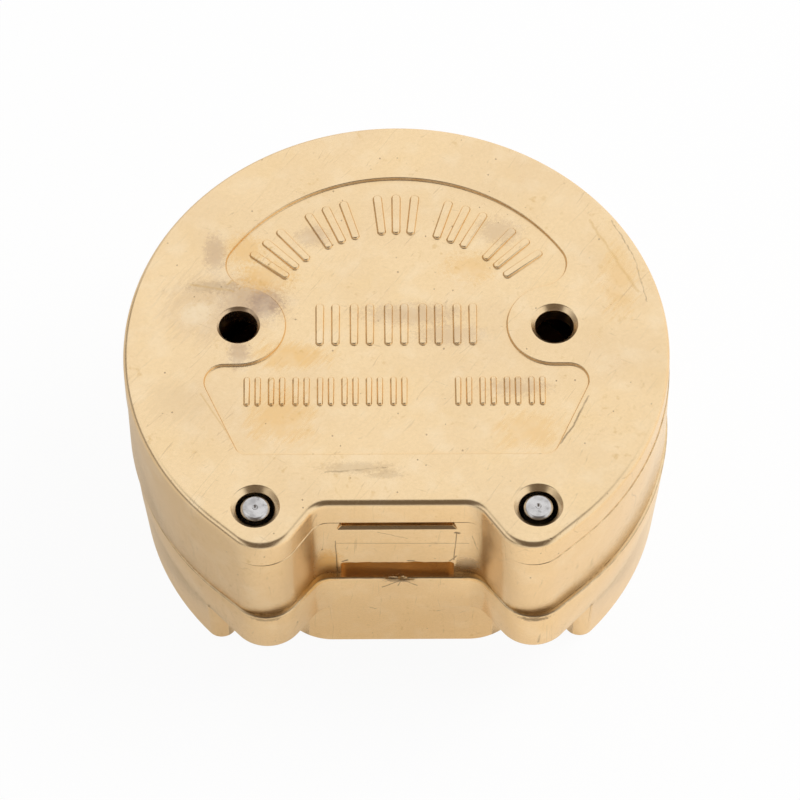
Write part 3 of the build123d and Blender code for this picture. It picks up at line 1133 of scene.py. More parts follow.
@dataclass
class Studio:
    """A plain pale floor, a white room that is dark behind the photographer, and one soft lamp."""

    floor_side: float = 6.0
    floor_white: float = 0.92
    camera_glow: float = 0.94
    mirror_glow: float = 0.5
    mirror_tint: tuple[float, float, float, float] = (1.0, 0.88, 0.70, 1.0)
    dark_shade: tuple[float, float, float, float] = (0.15, 0.122, 0.10, 1.0)
    mirror_left_shade: float = 0.66
    mirror_right_light: float = 1.12
    mirror_light_change: Point = (-0.078, 0.02)
    dark_behind: Point = (0.30, 0.0)
    dark_half_width: Point = (0.72, 0.42)
    dark_rise: Point = (-0.05, 0.45)
    side_start: Point = (-0.50, -0.72)
    side_foot: Point = (-0.12, 0.02)
    side_top: Point = (0.5, 0.3)
    side_share: float = 0.8
    lamp_power: float = 10.0
    lamp_side: float = 0.9
    lamp_place: tuple[float, float, float] = (0.9, 0.35, 1.1)

    def build(self) -> None:
        """Make the floor, the room, the lamp and the camera."""
        self.make_floor()
        self.make_room()
        self.make_lamp()
        PhotoCamera().build()
        bpy.context.scene.view_settings.view_transform = "Standard"

    def make_floor(self) -> None:
        """The floor, which shows white to the camera and keeps the object's shadow; in the metal it glows
        warm, dimmer to the left and brighter to the right, a painted shadow and painted light seen in
        reflections.
        """
        mesh = bmesh.new()
        bmesh.ops.create_grid(mesh, x_segments=1, y_segments=1, size=self.floor_side / 2)
        floor = as_object("floor", mesh)
        material, bench = new_material("pale_floor")
        white = (self.floor_white, self.floor_white, self.floor_white, 1)
        paper = bench.add("ShaderNodeBsdfDiffuse", {"Color": white})
        path = bench.add("ShaderNodeLightPath")
        direct = path.outputs["Is Camera Ray"]
        # Painted shadow and painted light in reflections: for mirror rays the floor glows warm, dimmer on the
        # left and brighter on the right.
        place = bench.add("ShaderNodeTexCoord").outputs["Object"]
        sideways = bench.add("ShaderNodeSeparateXYZ", {0: place}).outputs[0]
        change = bench.ramp(sideways, *self.mirror_light_change)
        rise = bench.math("MULTIPLY", change, self.mirror_right_light - self.mirror_left_shade)
        level = bench.math("ADD", rise, self.mirror_left_shade)
        unseen = bench.math("SUBTRACT", 1.0, direct)
        level = bench.math("ADD", bench.math("MULTIPLY", level, unseen), direct)
        tint = bench.mix(direct, self.mirror_tint, WHITE)
        glow = bench.add("ShaderNodeEmission", {"Color": tint, "Strength": level})
        seen = bench.math("MULTIPLY", direct, self.camera_glow)
        mirrored = bench.math("MULTIPLY", path.outputs["Is Glossy Ray"], self.mirror_glow)
        share = bench.math("MAXIMUM", seen, mirrored)
        mixed = bench.add("ShaderNodeMixShader", {0: share, 1: paper.outputs[0], 2: glow.outputs[0]})
        bench.add("ShaderNodeOutputMaterial", {"Surface": mixed.outputs[0]})
        floor.data.materials.append(material)

    def make_room(self) -> None:
        """A white room with a dark stretch from the zenith down behind the photographer."""
        world = bpy.data.worlds.new("white_room")
        bpy.context.scene.world = world
        world.use_nodes = True
        world.node_tree.nodes.clear()
        bench = NodeBench(world.node_tree)
        place = bench.add("ShaderNodeTexCoord").outputs["Generated"]
        axes = bench.add("ShaderNodeSeparateXYZ", {0: place})
        sideways = bench.math("ABSOLUTE", axes.outputs["X"])
        behind = bench.ramp(axes.outputs["Y"], *self.dark_behind)
        narrow = bench.ramp(sideways, *self.dark_half_width)
        raised = bench.ramp(axes.outputs["Z"], *self.dark_rise)
        dark = bench.math("MULTIPLY", bench.math("MULTIPLY", behind, narrow), raised)
        beside = bench.ramp(axes.outputs["X"], *self.side_start)
        above = bench.ramp(axes.outputs["Z"], *self.side_foot)
        low = bench.math("MULTIPLY", above, bench.ramp(axes.outputs["Z"], *self.side_top))
        side = bench.math("MULTIPLY", bench.math("MULTIPLY", beside, low), self.side_share)
        dark = bench.math("MAXIMUM", dark, side)
        shade = bench.mix(dark, WHITE, self.dark_shade)
        light = bench.add("ShaderNodeBackground", {"Color": shade, "Strength": 1.0})
        white = bench.add("ShaderNodeBackground", {"Color": WHITE, "Strength": 1.0})
        direct = bench.add("ShaderNodeLightPath").outputs["Is Camera Ray"]
        mixed = bench.add("ShaderNodeMixShader", {0: direct, 1: light.outputs[0], 2: white.outputs[0]})
        bench.add("ShaderNodeOutputWorld", {"Surface": mixed.outputs[0]})

    def make_lamp(self) -> None:
        """A wide lamp on the right, which lights the floor and keeps the left side a little darker."""
        data = bpy.data.lights.new("soft_lamp", "AREA")
        data.energy = self.lamp_power
        data.size = self.lamp_side
        lamp = bpy.data.objects.new("soft_lamp", data)
        lamp.location = self.lamp_place
        lamp.rotation_euler = (-Vector(self.lamp_place)).to_track_quat("-Z", "Y").to_euler()
        lamp.visible_glossy = False
        bpy.context.scene.collection.objects.link(lamp)


# Finishes


class WearGroups:
    """The shader groups of wear, which the finishes share. All their lengths are millimetres."""

    def __init__(self) -> None:
        """Build each group once."""
        self.cloud = self.make_cloud()
        self.scratches = self.make_scratches()
        self.specks = self.make_specks()
        self.patch = self.make_patch()
        self.stroke = self.make_stroke()

    @staticmethod
    def start(name: str, sockets: dict[str, str]) -> tuple[bpy.types.NodeTree, NodeBench, bpy.types.Node]:
        """Make a group with a mask as its output.

        Args:
            name: The group's name.
            sockets: The kind of each input by its name.

        Returns:
            The group, a bench to build it on, and its input node.
        """
        tree = bpy.data.node_groups.new(name, "ShaderNodeTree")
        for socket, kind in sockets.items():
            tree.interface.new_socket(socket, in_out="INPUT", socket_type=f"NodeSocket{kind}")
        tree.interface.new_socket("Mask", in_out="OUTPUT", socket_type="NodeSocketFloat")
        bench = NodeBench(tree)
        return tree, bench, bench.add("NodeGroupInput")

    @staticmethod
    def end(bench: NodeBench, mask: bpy.types.NodeSocket) -> None:
        """Join the mask to the group's output."""
        bench.add("NodeGroupOutput", {0: mask})

    def make_cloud(self) -> bpy.types.NodeTree:
        """Soft uneven clouds, as on a casting that has been handled."""
        tree, bench, given = self.start(
            "cloud", {"Place": "Vector", "Size": "Float", "Detail": "Float", "Low": "Float", "High": "Float"}
        )
        place = bench.vector("DIVIDE", given.outputs["Place"], self.spread(bench, given.outputs["Size"]))
        detail = given.outputs["Detail"]
        fog = bench.add("ShaderNodeTexNoise", {"Vector": place, "Scale": 1.0, "Detail": detail})
        low, high = given.outputs["Low"], given.outputs["High"]
        cut = bench.add("ShaderNodeMapRange", {0: fog.outputs[0], 1: low, 2: high})
        self.end(bench, cut.outputs[0])
        return tree

    def make_scratches(self) -> bpy.types.NodeTree:
        """Thin broken scratches that run one way."""
        tree, bench, given = self.start(
            "scratches",
            {
                "Place": "Vector",
                "Turn": "Float",
                "Length": "Float",
                "Spacing": "Float",
                "Width": "Float",
                "Share": "Float",
            },
        )
        turned_place = bench.add(
            "ShaderNodeVectorRotate",
            {"Vector": given.outputs["Place"], "Angle": given.outputs["Turn"]},
            rotation_type="Z_AXIS",
        ).outputs[0]
        cell = bench.add(
            "ShaderNodeCombineXYZ",
            {0: given.outputs["Length"], 1: given.outputs["Spacing"], 2: given.outputs["Length"]},
        ).outputs[0]
        place = bench.vector("DIVIDE", turned_place, cell)
        texture = {"Vector": place, "Scale": 1.0, "Detail": 1.0, "Roughness": 0.4}
        lines = bench.add("ShaderNodeTexNoise", texture)
        middle = bench.math("ABSOLUTE", bench.math("SUBTRACT", lines.outputs[0], 0.5))
        line = bench.add("ShaderNodeMapRange", {0: middle, 1: given.outputs["Width"], 2: 0.0})
        broken = bench.add("ShaderNodeTexNoise", {"Vector": place, "Scale": 2.3, "Detail": 2.0})
        least = bench.math("SUBTRACT", 1.0, given.outputs["Share"])
        whole = bench.math("ADD", least, 0.12)
        kept = bench.add("ShaderNodeMapRange", {0: broken.outputs[0], 1: least, 2: whole})
        self.end(bench, bench.math("MULTIPLY", line.outputs[0], kept.outputs[0]))
        return tree

    def make_specks(self) -> bpy.types.NodeTree:
        """Small round pits and specks, scattered thinly."""
        tree, bench, given = self.start(
            "specks", {"Place": "Vector", "Spacing": "Float", "Radius": "Float", "Share": "Float"}
        )
        place = bench.vector("DIVIDE", given.outputs["Place"], self.spread(bench, given.outputs["Spacing"]))
        cells = bench.add("ShaderNodeTexVoronoi", {"Vector": place, "Scale": 1.0})
        chance = bench.add("ShaderNodeSeparateColor", {0: cells.outputs["Color"]})
        reach = bench.math("DIVIDE", given.outputs["Radius"], given.outputs["Spacing"])
        size = bench.math("MULTIPLY", reach, bench.math("ADD", chance.outputs[1], 0.3))
        core = bench.math("MULTIPLY", size, 0.5)
        spot = bench.add("ShaderNodeMapRange", {0: cells.outputs["Distance"], 1: size, 2: core})
        kept = bench.math("LESS_THAN", chance.outputs[0], given.outputs["Share"])
        self.end(bench, bench.math("MULTIPLY", spot.outputs[0], kept))
        return tree

    def make_patch(self) -> bpy.types.NodeTree:
        """One patch of colour with a ragged outline around a given place, for the stains and for the painted
        shade inside the slit.
        """
        tree, bench, given = self.start(
            "patch",
            {"Place": "Vector", "Centre": "Vector", "Size": "Vector", "Ragged": "Float", "Fog": "Float"},
        )
        away = bench.vector("SUBTRACT", given.outputs["Place"], given.outputs["Centre"])
        reach = bench.vector("LENGTH", bench.vector("DIVIDE", away, given.outputs["Size"]), out=1)
        swing = bench.math("SUBTRACT", given.outputs["Fog"], 0.5)
        shift = bench.math("MULTIPLY", swing, given.outputs["Ragged"])
        self.end(bench, bench.ramp(bench.math("ADD", reach, shift), 1.15, 0.35))
        return tree

    def make_stroke(self) -> bpy.types.NodeTree:
        """One thin mark between two points, a little uneven."""
        tree, bench, given = self.start(
            "stroke",
            {
                "Place": "Vector",
                "From": "Vector",
                "To": "Vector",
                "Bend": "Vector",
                "Width": "Float",
                "Wobble": "Float",
            },
        )
        bent = bench.vector("MULTIPLY", given.outputs["Bend"], self.spread(bench, given.outputs["Wobble"]))
        place = bench.vector("ADD", given.outputs["Place"], bent)
        away = bench.vector("SUBTRACT", place, given.outputs["From"])
        run = bench.vector("SUBTRACT", given.outputs["To"], given.outputs["From"])
        covered = bench.vector("DOT_PRODUCT", away, run, out=1)
        whole = bench.vector("DOT_PRODUCT", run, run, out=1)
        along = bench.math("DIVIDE", covered, whole, clamp=True)
        nearest = bench.vector("MULTIPLY", run, self.spread(bench, along))
        gap = bench.vector("DISTANCE", away, nearest, out=1)
        line = bench.add("ShaderNodeMapRange", {0: gap, 1: given.outputs["Width"], 2: 0.0})
        self.end(bench, line.outputs[0])
        return tree

    @staticmethod
    def spread(bench: NodeBench, value: bpy.types.NodeSocket) -> bpy.types.NodeSocket:
        """The same value on all three axes."""
        return bench.add("ShaderNodeCombineXYZ", {0: value, 1: value, 2: value}).outputs[0]


Colour = tuple[float, float, float, float]
Place = tuple[float, float, float]


@dataclass(frozen=True)
class StainAndShade:
    """A patch of colour at one place: most are stains, and the one inside the slit of the lower casting is
    painted shade.
    """

    centre: Place
    size: Place
    colour: Colour
    strength: float
    ragged: float = 1.6
    coarse: bool = False


@dataclass(frozen=True)
class Seam:
    """A line of old grime around the piece at one level."""

    level: float
    width: float
    strength: float


@dataclass(frozen=True)
class Mark:
    """A thin scratch or casting line between two places."""

    start: Place
    end: Place
    width: float = 0.12
    strength: float = 0.6
    wobble: float = 0.25


PURPLE_GREY = (0.42, 0.29, 0.22, 1.0)
SMOKE = (0.36, 0.25, 0.15, 1.0)
AMBER = (0.88, 0.52, 0.16, 1.0)
PALE = (0.97, 0.80, 0.56, 1.0)
# Dark brown for dirt in scratches, seams and chips, and for painted shade in recesses and inside the slit.
DIRT_AND_SHADE = (0.07, 0.04, 0.02, 1.0)
OLD_GOLD = (0.60, 0.36, 0.10, 1.0)
COOL_BRASS = (0.80, 0.60, 0.38, 1.0)
WARM_BRASS = (0.90, 0.64, 0.31, 1.0)
SANDY_BRASS = (0.78, 0.55, 0.30, 1.0)
SMEARED_STEEL = (0.34, 0.33, 0.33, 1.0)
BLOTTED_STEEL = (0.16, 0.15, 0.15, 1.0)


@dataclass(frozen=True)
class BrassFinish:
    """Pale gold brass with tarnish, scratches and pits, and painted shade in its corners and recesses: warmer
    in shallow corners, darker deep inside.
    """

    name: str
    colour: Colour = (0.925, 0.70, 0.42, 1.0)
    roughness: float = 0.24
    waviness: float = 0.042
    grain: float = 0.0028
    blotches: float = 0.35
    scratch_depth: float = 0.009
    corner_shade_reach: float = 1.1
    stains_and_shade: tuple[StainAndShade, ...] = ()
    marks: tuple[Mark, ...] = ()
    streaks: tuple[Mark, ...] = ()
    seams: tuple[Seam, ...] = ()

    def build(self, wear: WearGroups) -> bpy.types.Material:
        """Make the material.

        Args:
            wear: The shared groups of wear.

        Returns:
            The material.
        """
        material, bench = new_material(self.name)
        place = place_in_millimetres(bench)

        cool = bench.group(wear.cloud, Place=place, Size=17.0, Detail=3.0, Low=0.42, High=0.72)
        warm = bench.group(wear.cloud, Place=place, Size=9.0, Detail=5.0, Low=0.50, High=0.78)
        colour = bench.mix(bench.math("MULTIPLY", cool, self.blotches), self.colour, COOL_BRASS)
        colour = bench.mix(bench.math("MULTIPLY", warm, 0.8 * self.blotches), colour, WARM_BRASS)
        dull = bench.math("MULTIPLY", cool, 0.25)
        turned_place = bench.add(
            "ShaderNodeVectorRotate", {"Vector": place, "Angle": -0.9}, rotation_type="Z_AXIS"
        ).outputs[0]
        drawn_out = bench.vector("MULTIPLY", turned_place, (0.28, 1.5, 0.6))
        fine_fog, coarse_fog = (
            bench.add(
                "ShaderNodeTexNoise",
                {"Vector": where, "Scale": scale, "Detail": 5.0, "Roughness": 0.68},
            )
            for where, scale in ((place, 1.9), (drawn_out, 1.0))
        )
        for tinted_patch in self.stains_and_shade:
            fog = (coarse_fog if tinted_patch.coarse else fine_fog).outputs[0]
            mask = bench.group(
                wear.patch, Place=place, Centre=tinted_patch.centre, Size=tinted_patch.size, Ragged=tinted_patch.ragged, Fog=fog
            )
            mask = bench.math("MULTIPLY", mask, tinted_patch.strength)
            colour = bench.mix(mask, colour, tinted_patch.colour)
            dull = bench.math("MAXIMUM", dull, mask)

        sandy = bench.group(wear.cloud, Place=place, Size=0.55, Detail=2.0, Low=0.35, High=0.68)
        colour = bench.mix(bench.math("MULTIPLY", sandy, 0.22), colour, SANDY_BRASS)
        flecks = bench.group(wear.cloud, Place=place, Size=1.3, Detail=4.0, Low=0.60, High=0.74)
        region = bench.group(wear.cloud, Place=place, Size=12.0, Detail=2.0, Low=0.48, High=0.62)
        flecks = bench.math("MULTIPLY", bench.math("MULTIPLY", flecks, region), 0.34)
        colour = bench.mix(flecks, colour, OLD_GOLD)
        bright = bench.group(wear.cloud, Place=place, Size=5.0, Detail=4.0, Low=0.50, High=0.72)
        colour = bench.mix(bench.math("MULTIPLY", bright, 0.35), colour, PALE)
        fine = bench.group(
            wear.scratches, Place=place, Turn=-0.95, Length=16.0, Spacing=1.5, Width=0.012, Share=0.47
        )
        crossed = bench.group(
            wear.scratches, Place=place, Turn=0.5, Length=11.0, Spacing=1.9, Width=0.010, Share=0.40
        )
        scratched = bench.math("MAXIMUM", fine, crossed)
        pits = bench.group(wear.specks, Place=place, Spacing=1.7, Radius=0.2, Share=0.26)
        colour = bench.mix(bench.math("MULTIPLY", scratched, 0.30), colour, SMOKE)
        colour = bench.mix(bench.math("MULTIPLY", pits, 0.65), colour, SMOKE)
        waver = bench.add("ShaderNodeTexNoise", {"Vector": place, "Scale": 0.6, "Detail": 3.0})
        bend = bench.vector("SUBTRACT", waver.outputs["Color"], (0.5, 0.5, 0.5))
        colour = bench.mix(self.strokes(bench, wear, place, bend, self.streaks), colour, OLD_GOLD)
        lines = self.strokes(bench, wear, place, bend, self.marks)
        colour = bench.mix(lines, colour, DIRT_AND_SHADE)
        level = bench.add("ShaderNodeSeparateXYZ", {0: place}).outputs[2]
        worn_off = bench.add("ShaderNodeMapRange", {0: waver.outputs[0], 1: 0.62, 2: 0.42, 3: 0.35, 4: 1.0})
        for seam in self.seams:
            gap = bench.math("ABSOLUTE", bench.math("SUBTRACT", level, seam.level))
            dark = bench.math("MULTIPLY", bench.ramp(gap, seam.width, seam.width * 0.4), seam.strength)
            colour = bench.mix(bench.math("MULTIPLY", dark, worn_off.outputs[0]), colour, DIRT_AND_SHADE)

        # Painted shade: local ambient occlusion tints shallow corners towards warm amber.
        corner = bench.add(
            "ShaderNodeAmbientOcclusion", {"Distance": self.corner_shade_reach * MM}, samples=4, only_local=True
        )
        near = bench.math("MULTIPLY", bench.ramp(corner.outputs["AO"], 0.97, 0.62), 0.55)
        colour = bench.mix(near, colour, bench.mix(near, self.colour, AMBER))
        # Painted shade: deep recesses are darkened with the dark brown.
        shaded_recess = bench.ramp(corner.outputs["AO"], 0.50, 0.18)
        colour = bench.mix(bench.math("MULTIPLY", shaded_recess, 0.45), colour, DIRT_AND_SHADE)

        rough = bench.math("ADD", self.roughness, bench.math("MULTIPLY", dull, 0.14))
        rough = bench.math("ADD", rough, bench.math("MULTIPLY", shaded_recess, 0.25))
        swell = bench.add("ShaderNodeTexNoise", {"Vector": place, "Scale": 0.13, "Detail": 1.5})
        grain = bench.add("ShaderNodeTexNoise", {"Vector": place, "Scale": 2.6, "Detail": 3.0})
        height = bench.math("MULTIPLY", swell.outputs[0], self.waviness * 2)
        height = bench.math("ADD", height, bench.math("MULTIPLY", grain.outputs[0], self.grain * 2))
        height = bench.math("SUBTRACT", height, bench.math("MULTIPLY", scratched, self.scratch_depth))
        height = bench.math("SUBTRACT", height, bench.math("MULTIPLY", pits, 0.03))
        height = bench.math("SUBTRACT", height, bench.math("MULTIPLY", flecks, 0.02))
        bump = bench.add("ShaderNodeBump", {"Height": height, "Distance": MM, "Strength": 1.0})
        shader = bench.add(
            "ShaderNodeBsdfPrincipled",
            {"Base Color": colour, "Roughness": rough, "Metallic": 1.0, "Normal": bump.outputs[0]},
        )
        bench.add("ShaderNodeOutputMaterial", {"Surface": shader.outputs[0]})
        return material

    @staticmethod
    def strokes(
        bench: NodeBench,
        wear: WearGroups,
        place: bpy.types.NodeSocket,
        bend: bpy.types.NodeSocket,
        marks: Sequence[Mark],
    ) -> bpy.types.NodeSocket:
        """Put a set of thin marks together.

        Args:
            bench: The bench of the material.
            wear: The shared groups of wear.
            place: The place on the piece, in millimetres.
            bend: A small uneven shift that keeps the marks from being straight.
            marks: The marks.

        Returns:
            One mask for all of them.
        """
        lines = bench.add("ShaderNodeValue").outputs[0]
        for mark in marks:
            mask = bench.group(
                wear.stroke,
                Place=place,
                From=mark.start,
                To=mark.end,
                Bend=bend,
                Width=mark.width,
                Wobble=mark.wobble,
            )
            lines = bench.math("MAXIMUM", lines, bench.math("MULTIPLY", mask, mark.strength))
        return lines


@dataclass(frozen=True)
class SteelFinish:
    """Bright turned steel, with fine rings around each pin and smears on its end."""

    name: str = "turned_steel"
    colour: Colour = (0.66, 0.645, 0.64, 1.0)
    roughness: float = 0.22
    axis: Place = (25.4, -34.095, 0.0)

    def build(self, wear: WearGroups) -> bpy.types.Material:
        """Make the material.

        Args:
            wear: The shared groups of wear.

        Returns:
            The material.
        """
        material, bench = new_material(self.name)
        place = place_in_millimetres(bench)
        height_up = bench.add("ShaderNodeSeparateXYZ", {0: place}).outputs[2]
        right_axis = tuple(abs(side) for side in self.axis)
        centred = bench.vector("SUBTRACT", bench.vector("ABSOLUTE", place), right_axis)
        flat = bench.vector("LENGTH", bench.vector("MULTIPLY", centred, (1.0, 1.0, 0.0)), out=1)
        ring_place = bench.add("ShaderNodeCombineXYZ", {0: flat, 2: height_up}).outputs[0]
        rings = bench.add("ShaderNodeTexNoise", {"Vector": ring_place, "Scale": 9.0, "Detail": 2.0})
        end = bench.math("ADD", 0.12, bench.math("MULTIPLY", bench.ramp(height_up, 45.0, 45.4), 0.88))
        smear = bench.group(wear.cloud, Place=place, Size=1.9, Detail=4.0, Low=0.42, High=0.66)
        smear = bench.math("MULTIPLY", smear, end)
        blot = bench.group(wear.cloud, Place=place, Size=0.9, Detail=3.0, Low=0.58, High=0.72)
        blot = bench.math("MULTIPLY", blot, end)
        colour = bench.mix(bench.math("MULTIPLY", smear, 0.55), self.colour, SMEARED_STEEL)
        colour = bench.mix(bench.math("MULTIPLY", blot, 0.5), colour, BLOTTED_STEEL)
        rough = bench.math("ADD", self.roughness, bench.math("MULTIPLY", smear, 0.2))
        turned_rings = bench.math("MULTIPLY", rings.outputs[0], 0.012)
        height = bench.math("ADD", turned_rings, bench.math("MULTIPLY", smear, 0.02))
        bump = bench.add("ShaderNodeBump", {"Height": height, "Distance": MM, "Strength": 1.0})
        shader = bench.add(
            "ShaderNodeBsdfPrincipled",
            {"Base Color": colour, "Roughness": rough, "Metallic": 1.0, "Normal": bump.outputs[0]},
        )
        bench.add("ShaderNodeOutputMaterial", {"Surface": shader.outputs[0]})
        return material


FACE = 46.0
WALL = -33.9

LOWER_STAINS_AND_SHADE = (
    StainAndShade((-33.0, 9.0, FACE), (11.0, 9.0, 6.0), PURPLE_GREY, 0.24, ragged=1.6, coarse=True),
    StainAndShade((-26.5, 10.5, FACE), (8.0, 6.5, 6.0), PURPLE_GREY, 0.4, ragged=1.6),
    StainAndShade((-24.2, 10.0, FACE), (3.6, 4.0, 6.0), PURPLE_GREY, 0.7, ragged=1.6),
    StainAndShade((-28.8, -1.2, FACE), (2.4, 3.6, 6.0), PURPLE_GREY, 0.5, ragged=2.1),
    StainAndShade((-34.0, 13.5, FACE), (6.0, 1.6, 6.0), SMOKE, 0.36, ragged=2.1),
    StainAndShade((-33.5, 21.0, FACE), (2.6, 5.0, 6.0), PURPLE_GREY, 0.42, ragged=2.1),
    StainAndShade((-37.0, 7.5, FACE), (3.3, 3.0, 6.0), PALE, 0.7, ragged=0.6, coarse=True),
    StainAndShade((-7.0, -26.0, FACE), (8.0, 1.5, 6.0), SMOKE, 0.3, ragged=2.1),
    StainAndShade((-2.0, -27.6, FACE), (4.0, 0.9, 6.0), SMOKE, 0.3, ragged=2.1),
    StainAndShade((-19.0, -1.5, FACE), (8.0, 3.4, 6.0), AMBER, 0.5, ragged=2.1, coarse=True),
    StainAndShade((-21.0, -15.0, FACE), (7.0, 6.5, 6.0), AMBER, 0.45, ragged=2.1, coarse=True),
    StainAndShade((-24.0, 16.0, FACE), (6.0, 4.0, 6.0), AMBER, 0.6, ragged=2.1),
    StainAndShade((-28.0, 22.0, FACE), (4.0, 4.0, 6.0), AMBER, 0.45, ragged=2.1),
    StainAndShade((3.0, 7.5, FACE), (11.0, 3.0, 6.0), PURPLE_GREY, 0.34, ragged=2.1),
    StainAndShade((10.0, 3.0, FACE), (8.0, 2.6, 6.0), PURPLE_GREY, 0.28, ragged=2.1),
    StainAndShade((-15.5, 25.0, FACE), (4.0, 2.6, 6.0), PURPLE_GREY, 0.34, ragged=2.1),
    StainAndShade((22.0, -8.5, FACE), (7.0, 2.4, 6.0), PURPLE_GREY, 0.34, ragged=2.1),
    StainAndShade((24.0, -18.0, FACE), (7.0, 5.0, 6.0), AMBER, 0.35, ragged=2.1, coarse=True),
    StainAndShade((19.0, 26.0, FACE), (5.0, 3.5, 6.0), PURPLE_GREY, 0.3, ragged=2.1),
    StainAndShade((14.0, 18.0, FACE), (6.0, 4.0, 6.0), AMBER, 0.35, ragged=2.1),
    StainAndShade((41.0, 14.0, FACE), (4.0, 9.0, 6.0), AMBER, 0.3, ragged=2.1, coarse=True),
    StainAndShade((-40.0, -12.0, FACE), (7.0, 6.0, 6.0), SMOKE, 0.1, ragged=2.1, coarse=True),
    StainAndShade((13.0, WALL, 25.6), (2.6, 3.0, 2.4), SMOKE, 0.6, ragged=1.6),
    StainAndShade((-13.0, WALL, 26.0), (3.4, 3.0, 5.0), AMBER, 0.8, ragged=1.6),
    # Inside the slit: painted shade, dark colour laid where the slot lies in shadow.
    StainAndShade((0.0, WALL + 1.6, 38.6), (16.0, 1.5, 2.4), DIRT_AND_SHADE, 0.55, ragged=0.6, coarse=True),
)

LOWER_MARKS = (
    Mark((-11.2, WALL, 33.6), (-11.0, WALL, 23.1), width=0.16, strength=0.85, wobble=0.25),
    Mark((10.8, WALL, 36.2), (10.3, WALL, 26.8), width=0.16, strength=0.85, wobble=0.25),
    Mark((-11.0, WALL, 32.8), (13.0, WALL, 32.6), width=0.14, strength=0.6, wobble=0.25),
    Mark((-14.6, WALL, 30.4), (-15.4, WALL - 1.6, 25.2), width=0.15, strength=0.5, wobble=0.25),
    Mark((13.6, WALL, 35.2), (14.6, WALL - 0.4, 31.5), width=0.2, strength=0.6, wobble=0.5),
    Mark((10.6, WALL, 36.3), (11.2, WALL, 36.1), width=0.42, strength=1.0, wobble=0.25),
    Mark((-3.5, WALL, 36.6), (1.8, WALL, 34.4), width=0.14, strength=0.5, wobble=0.5),
    Mark((40.0, 28.0, FACE), (44.0, 20.0, FACE), width=0.22, strength=0.5, wobble=1.0),
    Mark((44.0, 20.0, FACE), (46.0, 10.0, FACE), width=0.2, strength=0.45, wobble=1.0),
    Mark((-13.0, -27.0, FACE), (-2.0, -26.0, FACE), width=0.2, strength=0.4, wobble=1.0),
    Mark((34.9, -10.8, FACE), (33.3, -14.2, FACE), width=0.24, strength=0.6, wobble=0.5),
    Mark((33.3, -14.2, FACE), (31.8, -17.6, FACE), width=0.26, strength=0.7, wobble=0.5),
    Mark((31.8, -17.6, FACE), (29.6, -21.0, FACE), width=0.26, strength=0.7, wobble=0.5),
    Mark((29.6, -21.0, FACE), (25.8, -23.2, FACE), width=0.2, strength=0.5, wobble=0.5),
    Mark((16.6, -35.9, 29.2), (18.2, -37.9, 28.8), width=0.3, strength=0.75, wobble=0.5),
    Mark((18.2, -37.9, 28.8), (20.0, -40.1, 28.0), width=0.26, strength=0.75, wobble=0.5),
    Mark((-10.0, WALL, 26.4), (-9.2, WALL, 26.9), width=0.3, strength=0.9, wobble=0.25),
    Mark((2.0, WALL, 26.6), (3.0, WALL, 26.5), width=0.26, strength=0.8, wobble=0.5),
    Mark((9.6, WALL, 26.4), (10.8, WALL, 28.2), width=0.24, strength=0.7, wobble=0.5),
)

LOWER_STREAKS = (
    Mark((-28.0, -6.0, FACE), (-14.0, -0.5, FACE), width=0.3, strength=0.5, wobble=1.0),
    Mark((-25.5, -9.0, FACE), (-11.0, 2.5, FACE), width=0.24, strength=0.6, wobble=1.0),
    Mark((-18.0, -8.0, FACE), (-9.5, 3.0, FACE), width=0.22, strength=0.7, wobble=0.5),
    Mark((-27.0, -20.0, FACE), (-19.5, -13.0, FACE), width=0.3, strength=0.55, wobble=1.0),
    Mark((-24.0, -22.0, FACE), (-16.0, -14.0, FACE), width=0.22, strength=0.55, wobble=1.0),
    Mark((-31.0, 14.0, FACE), (-23.0, 22.5, FACE), width=0.32, strength=0.5, wobble=1.0),
    Mark((-29.0, 13.0, FACE), (-21.5, 20.5, FACE), width=0.26, strength=0.55, wobble=1.0),
    Mark((3.0, -2.0, FACE), (11.0, 9.0, FACE), width=0.22, strength=0.35, wobble=1.0),
    Mark((14.0, -15.0, FACE), (24.0, -5.0, FACE), width=0.22, strength=0.4, wobble=1.0),
    Mark((18.0, 17.0, FACE), (25.0, 27.0, FACE), width=0.22, strength=0.4, wobble=1.0),
    Mark((36.0, 28.0, FACE), (44.5, 12.0, FACE), width=0.4, strength=0.4, wobble=1.0),
    Mark((-27.0, -23.0, FACE), (26.0, -23.0, FACE), width=0.3, strength=0.45, wobble=0.25),
    Mark((-35.6, -10.0, FACE), (-28.6, -22.0, FACE), width=0.24, strength=0.4, wobble=0.25),
    Mark((22.5, -14.0, FACE), (20.0, -22.0, FACE), width=0.3, strength=0.35, wobble=1.0),
    Mark((-38.0, 14.0, FACE), (-30.0, 12.5, FACE), width=0.4, strength=0.4, wobble=1.0),
)

UPPER_STAINS = (
    StainAndShade((-16.5, -36.4, 22.5), (7.0, 4.0, 1.2), AMBER, 0.8, ragged=0.6, coarse=True),
    StainAndShade((16.5, -36.4, 22.5), (7.0, 4.0, 1.2), AMBER, 0.6, ragged=0.6, coarse=True),
    StainAndShade((0.2, -35.3, 21.9), (3.0, 1.5, 0.8), DIRT_AND_SHADE, 0.7, ragged=2.1),
    StainAndShade((25.0, -43.5, 21.6), (4.0, 2.0, 0.8), DIRT_AND_SHADE, 0.7, ragged=2.1),
    StainAndShade((-24.0, -43.5, 21.8), (4.0, 2.0, 0.6), DIRT_AND_SHADE, 0.5, ragged=2.1),
)

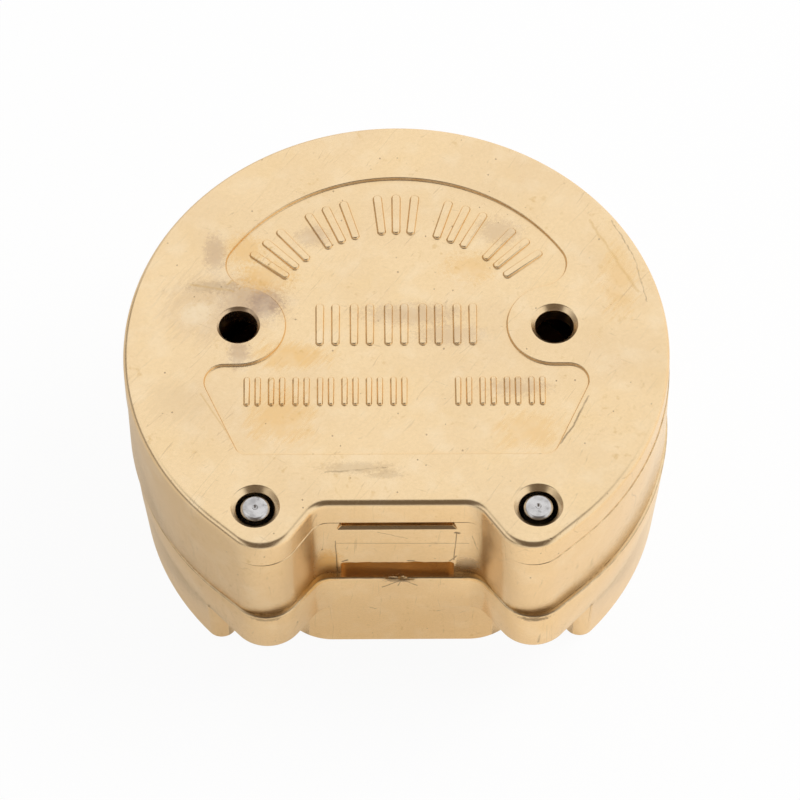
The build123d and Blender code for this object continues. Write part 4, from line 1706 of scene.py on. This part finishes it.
UPPER_MARKS = (
    Mark((0.9, -35.2, 22.0), (-2.8, -35.2, 19.4), width=0.2, strength=0.8, wobble=0.5),
    Mark((0.9, -35.2, 22.0), (3.6, -35.2, 20.0), width=0.18, strength=0.7, wobble=0.5),
    Mark((0.9, -35.2, 22.0), (0.1, -35.2, 19.9), width=0.16, strength=0.6, wobble=0.5),
    Mark((28.6, -43.3, 21.5), (26.4, -43.8, 17.8), width=0.34, strength=0.6, wobble=0.5),
    Mark((26.4, -43.8, 17.8), (25.8, -43.6, 13.4), width=0.34, strength=0.6, wobble=0.5),
    Mark((-6.0, -35.1, 12.5), (-4.0, -35.0, 11.6), width=0.2, strength=0.35, wobble=1.0),
    Mark((6.0, -35.0, 10.4), (8.5, -35.0, 11.2), width=0.2, strength=0.35, wobble=1.0),
    Mark((10.0, -35.0, 9.4), (12.5, -35.0, 10.6), width=0.2, strength=0.35, wobble=1.0),
)

LOWER_SEAMS = (Seam(22.56, 0.24, 0.8), Seam(39.8, 0.13, 0.5))
UPPER_SEAMS = (Seam(22.36, 0.16, 0.35),)


def dress(piece: bpy.types.Object, material: bpy.types.Material) -> None:
    """Give a piece its material."""
    piece.data.materials.clear()
    piece.data.materials.append(material)


def main() -> None:
    """Load the frame, build the studio and the pieces, and report each of them."""
    logging.basicConfig(level=logging.INFO, format="%(name)s: %(message)s")
    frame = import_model()
    Studio().build()
    plan = FlaskPlan()
    wear = WearGroups()
    lower_brass = BrassFinish(
        "brass_lower_casting",
        stains_and_shade=LOWER_STAINS_AND_SHADE,
        marks=LOWER_MARKS,
        streaks=LOWER_STREAKS,
        seams=LOWER_SEAMS,
    ).build(wear)
    upper_brass = BrassFinish(
        "brass_upper_casting", stains_and_shade=UPPER_STAINS, marks=UPPER_MARKS, seams=UPPER_SEAMS
    ).build(wear)
    plate_brass = BrassFinish("brass_plate", roughness=0.3, waviness=0.01, blotches=0.5).build(wear)
    steel = SteelFinish().build(wear)
    pieces = (
        (LowerHalf(plan).build(), Body.LOWER, "lower_half", lower_brass, Slot.BRASS),
        (UpperHalf(plan).build(), Body.UPPER, "upper_half", upper_brass, Slot.BRASS),
        (GuidePin(plan, -1).build(), Body.UPPER, "guide_pin_left", steel, Slot.STEEL),
        (GuidePin(plan, 1).build(), Body.UPPER, "guide_pin_right", steel, Slot.STEEL),
    )
    for piece, body, node, material, slot in pieces:
        dress(piece, material)
        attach(piece, body.value)
        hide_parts(node)
        LOG.info("%s: %d faces, rides on %s", piece.name, len(piece.data.polygons), body.value)
    for node in ("lid", "ejector_plate"):
        thing = frame["nodes"][node]
        thing.data.materials.clear()
        thing.data.materials.append(plate_brass)
        LOG.info("%s: CAD node with its finish", node)


if __name__ == "__main__":
    main()
